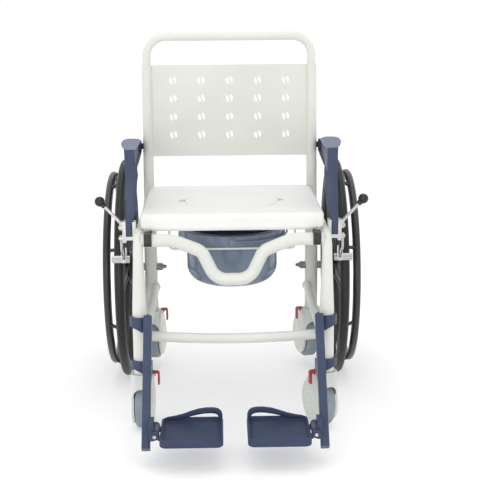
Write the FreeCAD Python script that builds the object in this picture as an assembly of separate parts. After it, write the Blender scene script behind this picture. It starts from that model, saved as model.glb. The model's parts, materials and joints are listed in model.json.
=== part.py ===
import FreeCAD, Part
import math
import os

# Self-propelled shower commode chair. Millimetres, +Z up, the front faces -Y, +X is on the sitter's left.
# Lengths along Y are written from the drive axle, and save() moves everything so that the origin lies
# under the middle of the whole chair.

V = FreeCAD.Vector
AXIS_X = V(1, 0, 0)
AXIS_Y = V(0, 1, 0)
AXIS_Z = V(0, 0, 1)

# Clearances
RUNNING_FIT = 0.08
BODY_GAP = 0.4
SLIDE_GAP = 0.6
CUT_PAST = 1.0
WELD_SINK = 2.0

# Drive wheels
TYRE_RADIUS = 295.5
TYRE_SECTION = 25.0
WHEEL_OUTBOARD = 63.0
RIM_DEPTH = 16.0
RIM_WIDTH = 20.0
TYRE_SEAT = 8.5
RIM_CHAMFER = 5.0
HUB_RADIUS = 17.0
HUB_LENGTH = 52.0
FLANGE_RADIUS = 27.0
FLANGE_THICK = 3.0
FLANGE_INSET = 8.0
FLANGE_ROOT = 1.0
SPOKE_COUNT = 8
SPOKE_WIDTH = 30.0
SPOKE_THICK = 14.0
SPIDER_BOSS_RADIUS = 42.0
PUSH_RIM_INSET = 43.5
PUSH_RIM_TUBE = 20.0
PUSH_RIM_OUTBOARD = 34.0
STANDOFF_COUNT = 8
STANDOFF_DIAMETER = 9.0
AXLE_DIAMETER = 12.7
AXLE_TIP_INBOARD = 43.0
AXLE_TIP_LENGTH = 8.0
AXLE_TIP_TAPER = 3.0
AXLE_NUT_RADIUS = 11.0
AXLE_NUT_THICK = 8.0
RECEIVER_WALL = 4.0
RECEIVER_PROUD = 6.0
AXLE_HEAD_THICK = 3.0
AXLE_HEAD_RADIUS = 10.0
BUTTON_DIAMETER = 8.0
BUTTON_LENGTH = 34.0
BUTTON_PROUD = 5.0
BUTTON_TRAVEL = 3.0
BUTTON_EDGE = 1.5

# Frame tubes
FRAME_HALF = 220.0
TUBE_WALL = 2.0
REAR_LEG_DIAMETER = 35.0
REAR_LEG_BOTTOM = 173.5
REAR_SWAGE_LOW = 462.0
REAR_SWAGE_HIGH = 485.0
UPRIGHT_DIAMETER = 29.0
UPRIGHT_TOP = 527.0
FRONT_LEG_Y = -472.0
FRONT_LEG_DIAMETER = 34.0
FRONT_LEG_BOTTOM = 148.0
TAPER_LOW = 300.0
RAIL_DIAMETER = 24.0
RAIL_BEND = 45.0
SOCKET_DEPTH = 45.0
LOWER_RAIL_INBOARD = 12.0
LOWER_RAIL_Z = 240.5
LOWER_RAIL_DIAMETER = 22.0
LOWER_CROSS_DIAMETER = 24.0
LOWER_CROSS_BOW = 8.0
REAR_CROSS_DIAMETER = 20.0
REAR_CROSS_Y = -46.0
FRONT_CROSS_DIAMETER = 30.0
FRONT_CROSS_Y = -455.0
FRONT_CROSS_INBOARD = 6.0
DIP_SHOULDER_X = 140.0
DIP_KNEE_X = 72.0
DIP_KNEE_DROP = 27.0
DIP_FLOOR_X = 40.0
DIP_DEPTH = 95.0
DIP_BENDS = (90.0, 34.0, 42.0)

# Back
HOOP_DIAMETER = 22.0
HOOP_TOP = 927.0
HOOP_CORNER = 62.0
HOOP_SPIGOT = 57.0
SLEEVE_DIAMETER = 28.0
LEAN_START = 555.0
LEAN_ANGLE = 4.6
LEAN_BEND = 160.0
PANEL_BOTTOM = 600.0
PANEL_DROP = 84.0
PANEL_THICK = 5.0
PANEL_WRAP = 3.0
SLOT_MARGIN = 20.0
SLOT_PITCH_X = 75.5
SLOT_PITCH_Z = 48.3
SLOT_RAISE = 8.0
SLOT_LENGTH = 19.0
SLOT_OUTER_BOW = 5.5
SLOT_INNER_BOW = 2.0
SLOT_SPACING = 8.0
SLOT_SLANT = 14.0

# Seat, lid, pan
SEAT_INBOARD = 3.0
SEAT_FRONT = -447.0
SEAT_BACK = -22.0
SEAT_TOP = 524.0
SEAT_THICK = 41.0
SEAT_CORNER = 38.0
SEAT_EDGE = 11.0
LID_Y = -260.0
LID_HALF_X = 116.0
LID_HALF_Y = 140.0
LID_THICK = 16.0
LID_LEDGE = 18.0
LID_PROUD = 1.0
LID_EDGE = 3.0
FINGER_RADIUS = 15.0
PAN_Y = -257.0
PAN_RIM_RADIUS = 134.0
PAN_SLIDE_CLEAR = 2.0
PAN_APRON = 25.0
PAN_BODY_RADIUS = 113.0
PAN_FLOOR_RADIUS = 70.0
PAN_BOTTOM = 320.0
PAN_WALL = 3.0
BAIL_WIRE = 5.0
BAIL_LUG_RADIUS = 6.0
BAIL_EYE_RADIUS = 9.0
BAIL_EYE_THICK = 4.0
BAIL_CLEAR = 2.0
CARRIER_WIRE = 5.0
CARRIER_CLEAR = 6.5
CARRIER_POST_CLEAR = 16.0
CARRIER_FRONT_CLEAR = 0.5
CARRIER_REACH = 18.0
CARRIER_BEND = 10.0
CLIP_WIDTH = 18.0
CLIP_WALL = 3.5
CLIP_MOUTH = 0.95
FRONT_CLIP_INBOARD = 23.0
REAR_CLIP_INBOARD = 70.0

# Armrests
ARM_PIVOT_Z = 627.5
ARM_PIVOT_PIN = 10.0
ARM_BUSH_RADIUS = 8.0
ARM_CAP_RADIUS = 8.0
ARM_CAP_THICK = 3.0
ARM_RAIL_OUTBOARD = 30.5
ARM_RAIL_WIDTH = 22.0
ARM_KNUCKLE = 16.0
ARM_TOP = 695.0
ARM_UNDER = (607.0, 598.0)
ARM_RAIL_DROP = 10.0
ARM_FRONT = -377.0
ARM_STRIP_DEPTH = 24.0
ARM_STRIP_OUTBOARD = (8.0, 36.5)
ARM_TAPER_Z = 556.0
ARM_HEEL = 28.0
ARM_NOSE = 14.0
PAD_OUTBOARD = (-6.5, 40.0)
PAD_DEPTH = 26.0
PAD_LENGTH = 190.0
PAD_OVERHANG = 8.0
PAD_CORNER = 15.0
PAD_EDGE = 9.0
PAD_TAIL = 6.0
TONGUE_OUTBOARD = 27.0
TONGUE_WIDTH = 15.0
FORK_FLOOR = 458.0
FORK_BASE = 9.0
FORK_TOP = 494.0
FORK_WALL = 8.0
FORK_LENGTH = 24.0
FORK_EAR_DROP = 9.0

# Wheel locks
LOCK_PIN = 8.0
LOCK_PIN_LENGTH = 10.0
LEVER_PIVOT_Z = 478.0
LEVER_PLATE = 7.0
LEVER_ROD = 8.0
LEVER_HALF = 6.0
LEVER_RISE = 16.0
LEVER_ROOT = 11.0
KNOB_RADIUS = 12.5
NECK_TOP_RADIUS = 10.0
NECK_WALL = 2.0
NECK_START = 8.0
NECK_LENGTH = 16.0
KNOB_OUTBOARD = 97.0
KNOB_Y = -357.0
KNOB_Z = 541.0
SHOE_PIVOT_Z = 452.0
SHOE_ROD = 6.5
SHOE_ROOT_DROP = 5.0
SHOE_ELBOW_DROP = 30.0
SHOE_BEND = 14.0
SHOE_BAR_OUTBOARD = (34.0, 78.0)
SHOE_BAR_RADIUS = 9.5
SHOE_GAP = 8.1
SHOE_BAR_Z = 385.0
SHOE_TEETH = 12

# Casters
CASTER_HEIGHT = 148.0
CASTER_WHEEL_RADIUS = 62.5
CASTER_WHEEL_WIDTH = 32.0
CASTER_TRAIL = 38.0
CASTER_CHEEK = 6.0
CASTER_CHEEK_RADIUS = 52.0
CASTER_SIDE_GAP = 2.5
CASTER_TREAD_GAP = 3.5
CASTER_STEM = 11.0
CASTER_STEM_LENGTH = 38.0
CASTER_AXLE = 10.0
CASTER_CROWN_RADIUS = 21.0
HOOD_TAIL = 28.6
HOOD_SHOULDER = 46.8
HOOD_CHIN = 26.0
HOOD_BROW = 36.0
HOOD_ROUND = 16.0
HOOD_ARCH_DROP = 5.0
STEM_BORE_SPARE = 2.0
TREAD_ROUND = 7.0
DISH_INSET = 14.0
DISH_BOSS_RADIUS = 14.0
DISH_DEPTH = 3.0
PEDAL_PIN = 4.0
PEDAL_BARREL = 4.5
PEDAL_WIDTH = 15.0
PEDAL_INSET = 4.0
PEDAL_REACH = 14.0
PEDAL_DROP = 24.0
PEDAL_THICK = 4.0
PEDAL_RISE_RUN = 5.0
PEDAL_RISE = 3.0
PEDAL_EAR_PROUD = 3.0
PEDAL_EAR_THICK = 3.0
PEDAL_EAR_HALF = 5.0
FRONT_SWIVELS = {"right": 19.0, "left": -2.0}
REAR_SWIVELS = {"right": 14.0, "left": -6.0}

# Footrests
HANGER_INBOARD = 21.0
HANGER_WIDTH = 19.0
HANGER_DEPTH = 26.0
HANGER_EDGE = 4.0
HANGER_TOP = (-502.0, 293.0)
HANGER_FOOT = (-680.0, 38.0)
HOOK_WALL = 6.5
HOOK_MOUTH = 24.0
UPPER_HOOK = (253.5, 288.0)
LOWER_HOOK = (153.0, 182.0)
HOLLOW_OUTBOARD = 30.0
HOLLOW_RADIUS = 57.0
HOLLOW_RISES = (12.0, 11.0)
HINGE_INBOARD = 42.0
HINGE_Z = 77.0
HINGE_PIN = 8.0
HINGE_PIN_PROUD = 2.0
HINGE_BLOCK_Y = (-686.0, -650.0)
HINGE_KNUCKLE = 10.0
HINGE_ARM_INBOARD = 39.0
HINGE_ARM_Z = (60.0, 104.0)
PLATE_KNUCKLE_WIDTH = 17.0
PLATE_KNUCKLE = 9.0
PLATE_INBOARD = 53.0
PLATE_WIDTH = 140.0
PLATE_FRONT = -726.0
PLATE_BACK = -578.0
PLATE_RIM_TOP = 76.0
PLATE_FLOOR = 68.0
PLATE_BOTTOM = 58.0
PLATE_RIM = 4.0
PLATE_CORNER = 16.0
LOOP_THICK = 5.0
LOOP_OUTLINE = ((4, 6), (30, 10), (60, 19), (90, 28), (115, 31), (131, 26), (138, 16), (139, 6))
LOOP_OPENING = ((56, 9), (76, 15), (98, 21.5), (113, 22), (122, 17), (124, 9))

# Places that follow from the sizes above. Inboard and outboard are measured from the frame's side tubes.
WHEEL_PLANE = FRAME_HALF + WHEEL_OUTBOARD
PUSH_RIM_PLANE = WHEEL_PLANE + PUSH_RIM_OUTBOARD
PUSH_RIM_RADIUS = TYRE_RADIUS - PUSH_RIM_INSET
AXLE_INNER_TIP = FRAME_HALF - AXLE_TIP_INBOARD
LOWER_RAIL_X = FRAME_HALF - LOWER_RAIL_INBOARD
FRONT_CROSS_END = FRAME_HALF - FRONT_CROSS_INBOARD
SEAT_HALF = FRAME_HALF - SEAT_INBOARD
FRONT_CLIP_X = FRAME_HALF - FRONT_CLIP_INBOARD
REAR_CLIP_X = FRAME_HALF - REAR_CLIP_INBOARD
PANEL_TOP = HOOP_TOP - PANEL_DROP
SLOT_COLUMNS = int((2 * FRAME_HALF - 2 * SLOT_MARGIN) / SLOT_PITCH_X)
SLOT_ROWS = int((PANEL_TOP - PANEL_BOTTOM - 2 * SLOT_MARGIN) / SLOT_PITCH_Z)
CARRIER_RUNNER_X = PAN_BODY_RADIUS + CARRIER_CLEAR + CARRIER_WIRE / 2
CARRIER_POST_X = PAN_RIM_RADIUS + CARRIER_POST_CLEAR
CARRIER_FRONT = PAN_Y - PAN_RIM_RADIUS - CARRIER_FRONT_CLEAR - CARRIER_WIRE / 2
CARRIER_BACK = PAN_Y + PAN_RIM_RADIUS + CARRIER_REACH
ARM_RAIL_X = FRAME_HALF + ARM_RAIL_OUTBOARD
ARM_STRIP_SPAN = tuple(FRAME_HALF + x for x in ARM_STRIP_OUTBOARD)
PAD_SPAN = tuple(FRAME_HALF + x for x in PAD_OUTBOARD)
TONGUE_X = FRAME_HALF + TONGUE_OUTBOARD
KNOB_X = FRAME_HALF + KNOB_OUTBOARD
SHOE_BAR_X = tuple(FRAME_HALF + x for x in SHOE_BAR_OUTBOARD)
HANGER_X = FRAME_HALF - HANGER_INBOARD
HOLLOW_X = FRAME_HALF + HOLLOW_OUTBOARD
HINGE_X = FRAME_HALF - HINGE_INBOARD
HINGE_ARM_X = FRAME_HALF - HINGE_ARM_INBOARD
PLATE_OUTER = FRAME_HALF - PLATE_INBOARD
PLATE_INNER = PLATE_OUTER - PLATE_WIDTH
CENTRE_Y = (TYRE_RADIUS + PLATE_FRONT) / 2
AXLE_Z = TYRE_RADIUS
SHOE_BAR_Y = -math.sqrt((TYRE_RADIUS + SHOE_GAP + SHOE_BAR_RADIUS) ** 2 - (SHOE_BAR_Z - AXLE_Z) ** 2)
SEAT_BOTTOM = SEAT_TOP - SEAT_THICK
RAIL_Z = SEAT_BOTTOM - RAIL_DIAMETER / 2
FRONT_CROSS_Z = SEAT_BOTTOM - CLIP_WALL - FRONT_CROSS_DIAMETER / 2
REAR_CROSS_Z = SEAT_BOTTOM - CLIP_WALL - REAR_CROSS_DIAMETER / 2
RECEIVER_RADIUS = AXLE_DIAMETER / 2 + RECEIVER_WALL
RECEIVER_INNER = FRAME_HALF - REAR_LEG_DIAMETER / 2 - RECEIVER_PROUD
HUB_INNER = WHEEL_PLANE - HUB_LENGTH / 2
HUB_OUTER = WHEEL_PLANE + HUB_LENGTH / 2
LEVER_PLANE = TONGUE_X + TONGUE_WIDTH / 2 + SLIDE_GAP + FORK_WALL + BODY_GAP
PAN_RIM_TOP = REAR_CROSS_Z - REAR_CROSS_DIAMETER / 2 - PAN_SLIDE_CLEAR
PAN_APRON_LOW = PAN_RIM_TOP - PAN_APRON
BAIL_Z = PAN_RIM_TOP - PAN_APRON / 2
BAIL_RADIUS = PAN_RIM_RADIUS + BAIL_WIRE / 2 + BAIL_CLEAR
HOOD_HALF = CASTER_WHEEL_WIDTH / 2 + CASTER_SIDE_GAP + CASTER_CHEEK
HOOD_TOP = CASTER_HEIGHT - BODY_GAP
PEDAL_X = HOOD_HALF + PEDAL_BARREL + BODY_GAP
PEDAL_Z = HOOD_TOP - PEDAL_INSET
HOOK_INNER = FRONT_LEG_DIAMETER / 2 + BODY_GAP
TONGUE_TOP = FORK_TOP + BODY_GAP
ARM_PIVOT_Y = (ARM_PIVOT_Z - LEAN_START) * math.tan(math.radians(LEAN_ANGLE))
ARM_STRIP_Y = ARM_FRONT + ARM_STRIP_DEPTH / 2


def save(name, *solids):
    shape = solids[0] if len(solids) == 1 else Part.makeCompound(list(solids))
    shape = shape.copy()
    shape.translate(V(0, -CENTRE_Y, 0))
    shape.exportStep("parts/" + name + ".step")


def mirrored(shape):
    return shape.mirror(V(0, 0, 0), AXIS_X)


def save_pair(name, shape):
    save(name + "_right", shape)
    save(name + "_left", mirrored(shape))


def rod(radius, start, end):
    run = end - start
    return Part.makeCylinder(radius, run.Length, start, run)


def tube(radius, wall, start, end):
    return rod(radius, start, end).cut(rod(radius - wall, start, end))


def block(x, y, z):
    low = V(min(x), min(y), min(z))
    return Part.makeBox(abs(x[1] - x[0]), abs(y[1] - y[0]), abs(z[1] - z[0]), low)


def joined(first, *others):
    return first.fuse(list(others)).removeSplitter()


def bent_path(points, bends):
    """Straight runs joined by tangent arcs, one radius for each inner point."""
    edges = []
    last = points[0]
    for before, corner, after, radius in zip(points, points[1:], points[2:], bends):
        back = (before - corner).normalize()
        ahead = (after - corner).normalize()
        half = math.acos(max(-1.0, min(1.0, back.dot(ahead)))) / 2
        reach = radius / math.tan(half)
        middle = (back + ahead).normalize() * (radius / math.sin(half) - radius)
        enter = corner + back * reach
        leave = corner + ahead * reach
        edges.append(Part.LineSegment(last, enter).toShape())
        edges.append(Part.Arc(enter, corner + middle, leave).toShape())
        last = leave
    edges.append(Part.LineSegment(last, points[-1]).toShape())
    return Part.Wire(edges)


def bent_rod(radius, points, bends):
    path = bent_path(points, bends)
    start = (points[1] - points[0]).normalize()
    ring = Part.Wire([Part.Circle(points[0], start, radius).toShape()])
    return path.makePipeShell([ring], True, False)


def bent_tube(radius, wall, points, bends):
    return bent_rod(radius, points, bends).cut(bent_rod(radius - wall, points, bends))


def outline(points):
    return Part.Face(Part.makePolygon(list(points) + [points[0]]))


def fillet_along(shape, radius, direction):
    """Rounds the straight edges that run along one direction."""
    edges = [e for e in shape.Edges
             if isinstance(e.Curve, Part.Line) and abs(e.Curve.Direction.dot(direction)) > 0.999]
    return shape.makeFillet(radius, edges)


def oval(half_x, half_y, low, high):
    """Upright elliptical plug about the lid's centre."""
    if half_x > half_y:
        curve = Part.Ellipse(V(0, LID_Y, low), half_x, half_y)
    else:
        curve = Part.Ellipse(V(0, LID_Y + half_y, low), V(half_x, LID_Y, low), V(0, LID_Y, low))
    return Part.Face(Part.Wire([curve.toShape()])).extrude(V(0, 0, high - low))


# Side tube: tapered front leg with the caster socket, bent back into the seat rail
def side_tube():
    def form(trim):
        leg = FRONT_LEG_DIAMETER / 2 - trim
        rail = RAIL_DIAMETER / 2 - trim
        bend_z = RAIL_Z - RAIL_BEND
        foot = V(FRAME_HALF, FRONT_LEG_Y, FRONT_LEG_BOTTOM + (SOCKET_DEPTH if trim else 0))
        knee = V(FRAME_HALF, FRONT_LEG_Y, TAPER_LOW)
        lower = rod(leg, foot, knee)
        taper = Part.makeCone(leg, rail, bend_z - TAPER_LOW, knee)
        ring = Part.Face(Part.Wire([Part.Circle(V(FRAME_HALF, FRONT_LEG_Y, bend_z), AXIS_Z, rail).toShape()]))
        bend = ring.revolve(V(FRAME_HALF, FRONT_LEG_Y + RAIL_BEND, bend_z), AXIS_X, -90)
        run = rod(rail, V(FRAME_HALF, FRONT_LEG_Y + RAIL_BEND, RAIL_Z), V(FRAME_HALF, 0, RAIL_Z))
        return joined(lower, taper, bend, run)
    post = rod(REAR_LEG_DIAMETER / 2, V(FRAME_HALF, 0, REAR_LEG_BOTTOM), V(FRAME_HALF, 0, UPRIGHT_TOP))
    return form(0).cut(form(TUBE_WALL)).cut(post).cut(stem_bore(FRONT_LEG_Y, FRONT_LEG_BOTTOM))


def stem_bore(y, z):
    depth = CASTER_STEM_LENGTH + STEM_BORE_SPARE
    return rod(CASTER_STEM / 2 + RUNNING_FIT, V(FRAME_HALF, y, z), V(FRAME_HALF, y, z + depth))


# Rear leg: caster socket below, axle receiver through it, swaged to the socket of the back hoop
def rear_leg():
    radius = REAR_LEG_DIAMETER / 2
    upright = UPRIGHT_DIAMETER / 2
    low, high, top = (V(FRAME_HALF, 0, z) for z in (REAR_SWAGE_LOW, REAR_SWAGE_HIGH, UPRIGHT_TOP))
    body = joined(rod(radius, V(FRAME_HALF, 0, REAR_LEG_BOTTOM), low),
                  Part.makeCone(radius, upright, REAR_SWAGE_HIGH - REAR_SWAGE_LOW, low),
                  rod(upright, high, top))
    hollow = rod(radius - TUBE_WALL, V(FRAME_HALF, 0, REAR_LEG_BOTTOM + SOCKET_DEPTH), low)
    spigot_bore = rod(HOOP_DIAMETER / 2 + RUNNING_FIT, low, top)
    receiver = rod(RECEIVER_RADIUS, V(AXLE_INNER_TIP, 0, AXLE_Z), V(HUB_INNER, 0, AXLE_Z))
    return body.cut(hollow).cut(spigot_bore).cut(receiver).cut(stem_bore(0, REAR_LEG_BOTTOM))


def axle_receiver():
    return tube(RECEIVER_RADIUS, RECEIVER_WALL, axle_point(RECEIVER_INNER), axle_point(HUB_INNER - BODY_GAP))


def lower_cross_tube():
    half = FRAME_HALF
    ends = [V(side * half, FRONT_LEG_Y, LOWER_RAIL_Z) for side in (-1, 1)]
    middle = V(0, FRONT_LEG_Y - LOWER_CROSS_BOW, LOWER_RAIL_Z - LOWER_CROSS_BOW)
    arc = Part.Arc(ends[0], middle, ends[1])
    path = Part.Wire([arc.toShape()])
    start = arc.tangent(arc.FirstParameter)[0]
    rings = [Part.Wire([Part.Circle(ends[0], start, r).toShape()])
             for r in (LOWER_CROSS_DIAMETER / 2, LOWER_CROSS_DIAMETER / 2 - TUBE_WALL)]
    outer, inner = (path.makePipeShell([ring], True, False) for ring in rings)
    legs = [rod(FRONT_LEG_DIAMETER / 2, V(end.x, end.y, FRONT_LEG_BOTTOM), V(end.x, end.y, TAPER_LOW))
            for end in ends]
    return outer.cut(inner).cut(legs[0]).cut(legs[1])


def lower_rail(cross):
    run = tube(LOWER_RAIL_DIAMETER / 2, TUBE_WALL,
               V(LOWER_RAIL_X, FRONT_LEG_Y, LOWER_RAIL_Z), V(LOWER_RAIL_X, 0, LOWER_RAIL_Z))
    front = rod(FRONT_LEG_DIAMETER / 2, V(FRAME_HALF, FRONT_LEG_Y, FRONT_LEG_BOTTOM),
                V(FRAME_HALF, FRONT_LEG_Y, TAPER_LOW))
    back = rod(REAR_LEG_DIAMETER / 2, V(FRAME_HALF, 0, REAR_LEG_BOTTOM), V(FRAME_HALF, 0, REAR_SWAGE_LOW))
    cut = run.cut(front).cut(back).cut(cross)
    return max(cut.Solids, key=lambda s: s.Volume)


# Front cross tube: straight at the legs, then down into a U under the seat's opening
def front_cross_tube(side):
    half = [V(FRONT_CROSS_END, FRONT_CROSS_Y, FRONT_CROSS_Z),
            V(DIP_SHOULDER_X, FRONT_CROSS_Y, FRONT_CROSS_Z),
            V(DIP_KNEE_X, FRONT_CROSS_Y, FRONT_CROSS_Z - DIP_KNEE_DROP),
            V(DIP_FLOOR_X, FRONT_CROSS_Y, FRONT_CROSS_Z - DIP_DEPTH)]
    other = [V(-p.x, p.y, p.z) for p in reversed(half)]
    bends = list(DIP_BENDS) + list(reversed(DIP_BENDS))
    whole = bent_tube(FRONT_CROSS_DIAMETER / 2, TUBE_WALL, half + other, bends)
    whole = whole.cut([side, mirrored(side)])
    return max(whole.Solids, key=lambda s: s.Volume)


def rear_cross_tube():
    ends = [V(side * FRAME_HALF, REAR_CROSS_Y, REAR_CROSS_Z) for side in (-1, 1)]
    run = tube(REAR_CROSS_DIAMETER / 2, TUBE_WALL, ends[0], ends[1])
    rails = [rod(RAIL_DIAMETER / 2, V(end.x, FRONT_LEG_Y, RAIL_Z), V(end.x, 0, RAIL_Z)) for end in ends]
    return run.cut(rails)


# Back hoop: one tube, plugged into the rear legs, swaged out below the panel, leaning back above it
def lean_point(x, along):
    angle = math.radians(LEAN_ANGLE)
    return V(x, along * math.sin(angle), LEAN_START + along * math.cos(angle))


def backrest_hoop():
    rise = (HOOP_TOP - HOOP_DIAMETER / 2 - LEAN_START) / math.cos(math.radians(LEAN_ANGLE))
    bottom = UPRIGHT_TOP - HOOP_SPIGOT
    points = [V(-FRAME_HALF, 0, bottom), V(-FRAME_HALF, 0, LEAN_START), lean_point(-FRAME_HALF, rise),
              lean_point(FRAME_HALF, rise), V(FRAME_HALF, 0, LEAN_START), V(FRAME_HALF, 0, bottom)]
    bends = [LEAN_BEND, HOOP_CORNER - HOOP_DIAMETER / 2, HOOP_CORNER - HOOP_DIAMETER / 2, LEAN_BEND]
    radius = HOOP_DIAMETER / 2
    outer = bent_rod(radius, points, bends)
    for x in (-FRAME_HALF, FRAME_HALF):
        line = [V(x, 0, UPRIGHT_TOP), V(x, 0, LEAN_START), lean_point(x, PANEL_BOTTOM - LEAN_START)]
        outer = outer.fuse(bent_rod(SLEEVE_DIAMETER / 2, line, [LEAN_BEND]))
    return outer.removeSplitter().cut(bent_rod(radius - TUBE_WALL, points, bends))


# Back panel: flat web with sleeves round the hoop, and rows of paired leaf slots
def leaf(x, z):
    """Slot that bulges away from its partner."""
    half = SLOT_LENGTH / 2
    front = V(0, -HOOP_DIAMETER, 0)
    tip, foot = front + V(x, 0, z + half), front + V(x, 0, z - half)
    sides = [Part.Arc(tip, front + V(x + SLOT_OUTER_BOW, 0, z), foot).toShape(),
             Part.Arc(foot, front + V(x - SLOT_INNER_BOW, 0, z), tip).toShape()]
    return Part.Face(Part.Wire(sides)).extrude(V(0, 2 * HOOP_DIAMETER, 0))


def leaf_pair(x, z):
    """Two leaves, one the other turned half round, slanted together."""
    right = leaf(x + SLOT_SPACING / 2, z)
    left = right.copy()
    left.rotate(V(x, 0, z), AXIS_Y, 180)
    pair = Part.makeCompound([right, left])
    pair.rotate(V(x, 0, z), AXIS_Y, SLOT_SLANT)
    return pair


def back_panel():
    sleeve = HOOP_DIAMETER / 2 + PANEL_WRAP
    web = block((-FRAME_HALF, FRAME_HALF), (-PANEL_THICK / 2, PANEL_THICK / 2), (PANEL_BOTTOM, PANEL_TOP))
    for x in (-FRAME_HALF, FRAME_HALF):
        ends = V(x, 0, PANEL_BOTTOM), V(x, 0, PANEL_TOP)
        web = web.fuse(rod(sleeve, *ends)).cut(rod(HOOP_DIAMETER / 2 + RUNNING_FIT, *ends))
    middle = (PANEL_BOTTOM + PANEL_TOP) / 2 + SLOT_RAISE
    slots = []
    for column in range(SLOT_COLUMNS):
        for row in range(SLOT_ROWS):
            x = (column - (SLOT_COLUMNS - 1) / 2) * SLOT_PITCH_X
            z = middle + (row - (SLOT_ROWS - 1) / 2) * SLOT_PITCH_Z
            slots += leaf_pair(x, z).Solids
    panel = web.cut(slots)
    panel.rotate(V(0, 0, LEAN_START), AXIS_X, -LEAN_ANGLE)
    return max(panel.Solids, key=lambda s: s.Volume)


# Seat: thick moulded board with a commode opening and a ledge for the lid
def seat():
    board = block((-SEAT_HALF, SEAT_HALF), (SEAT_FRONT, SEAT_BACK), (SEAT_BOTTOM, SEAT_TOP))
    board = fillet_along(board, SEAT_CORNER, AXIS_Z)
    rims = [e for e in board.Edges if abs(e.BoundBox.ZMin - e.BoundBox.ZMax) < 0.01]
    board = board.makeFillet(SEAT_EDGE, rims)
    ledge = SEAT_TOP - LID_THICK
    board = board.cut(oval(LID_HALF_X, LID_HALF_Y, ledge, SEAT_TOP + CUT_PAST))
    board = board.cut(oval(LID_HALF_X - LID_LEDGE, LID_HALF_Y - LID_LEDGE, SEAT_BOTTOM - CUT_PAST, SEAT_TOP))
    for side in (-1, 1):
        finger = V(side * LID_HALF_X, LID_Y, ledge)
        board = board.cut(rod(FINGER_RADIUS, finger, finger + V(0, 0, LID_THICK + CUT_PAST)))
    return board


def seat_lid():
    low = SEAT_TOP - LID_THICK + BODY_GAP
    plug = oval(LID_HALF_X - SLIDE_GAP, LID_HALF_Y - SLIDE_GAP, low, SEAT_TOP + LID_PROUD)
    top_edge = [e for e in plug.Edges if e.BoundBox.ZMin > SEAT_TOP]
    return plug.makeFillet(LID_EDGE, top_edge)


def seat_clip(x, y, z, radius):
    """Snap clip under the seat, wrapped round a cross tube."""
    outer = radius + CLIP_WALL
    half = CLIP_WIDTH / 2
    ring = rod(outer, V(x - half, y, z), V(x + half, y, z))
    head = block((x - half, x + half), (y - outer, y + outer), (z, SEAT_BOTTOM))
    bore = rod(radius, V(x - half, y, z), V(x + half, y, z))
    gape = radius * CLIP_MOUTH
    mouth = block((x - half, x + half), (y - gape, y + gape), (z - outer, z))
    return joined(ring, head).cut([bore, mouth])


# Pan with a deep rim apron, its bail and the wire carrier that it slides on
def pan():
    half_turn = math.sqrt(0.5)
    low = PAN_APRON_LOW
    round_z = PAN_BOTTOM + (PAN_BODY_RADIUS - PAN_FLOOR_RADIUS)
    inner_body = PAN_BODY_RADIUS - PAN_WALL
    inner_floor = PAN_FLOOR_RADIUS

    def at(radius, z):
        return V(radius, PAN_Y, z)

    def corner(centre_r, centre_z, radius):
        return at(centre_r + radius * half_turn, centre_z - radius * half_turn)

    outer_round = PAN_BODY_RADIUS - PAN_FLOOR_RADIUS
    inner_round = outer_round - PAN_WALL
    edges = [
        Part.LineSegment(at(0, PAN_BOTTOM), at(PAN_FLOOR_RADIUS, PAN_BOTTOM)),
        Part.Arc(at(PAN_FLOOR_RADIUS, PAN_BOTTOM), corner(PAN_FLOOR_RADIUS, round_z, outer_round),
                 at(PAN_BODY_RADIUS, round_z)),
        Part.LineSegment(at(PAN_BODY_RADIUS, round_z), at(PAN_BODY_RADIUS, low)),
        Part.LineSegment(at(PAN_BODY_RADIUS, low), at(PAN_RIM_RADIUS, low)),
        Part.LineSegment(at(PAN_RIM_RADIUS, low), at(PAN_RIM_RADIUS, PAN_RIM_TOP)),
        Part.LineSegment(at(PAN_RIM_RADIUS, PAN_RIM_TOP), at(inner_body, PAN_RIM_TOP)),
        Part.LineSegment(at(inner_body, PAN_RIM_TOP), at(inner_body, round_z)),
        Part.Arc(at(inner_body, round_z), corner(inner_floor, round_z, inner_round),
                 at(inner_floor, PAN_BOTTOM + PAN_WALL)),
        Part.LineSegment(at(inner_floor, PAN_BOTTOM + PAN_WALL), at(0, PAN_BOTTOM + PAN_WALL)),
        Part.LineSegment(at(0, PAN_BOTTOM + PAN_WALL), at(0, PAN_BOTTOM)),
    ]
    face = Part.Face(Part.Wire([e.toShape() for e in edges]))
    bowl = face.revolve(V(0, PAN_Y, 0), AXIS_Z, 360)
    reach = BAIL_RADIUS + BAIL_EYE_THICK
    for side in (-1, 1):
        bowl = bowl.fuse(rod(BAIL_LUG_RADIUS, V(0, PAN_Y + side * (PAN_RIM_RADIUS - PAN_WALL), BAIL_Z),
                             V(0, PAN_Y + side * reach, BAIL_Z)))
    return bowl.removeSplitter()


def pan_bail():
    ends = [V(0, PAN_Y + side * BAIL_RADIUS, BAIL_Z) for side in (-1, 1)]
    ring = Part.Wire([Part.Circle(ends[0], AXIS_X, BAIL_WIRE / 2).toShape()])
    bail = Part.Face(ring).revolve(V(0, PAN_Y, BAIL_Z), AXIS_Z, 180)
    bores = []
    for end in ends:
        half = V(0, BAIL_EYE_THICK / 2, 0)
        bail = bail.fuse(rod(BAIL_EYE_RADIUS, end - half, end + half))
        bores.append(rod(BAIL_LUG_RADIUS + RUNNING_FIT, end - half * 3, end + half * 3))
    return bail.removeSplitter().cut(bores)


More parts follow.
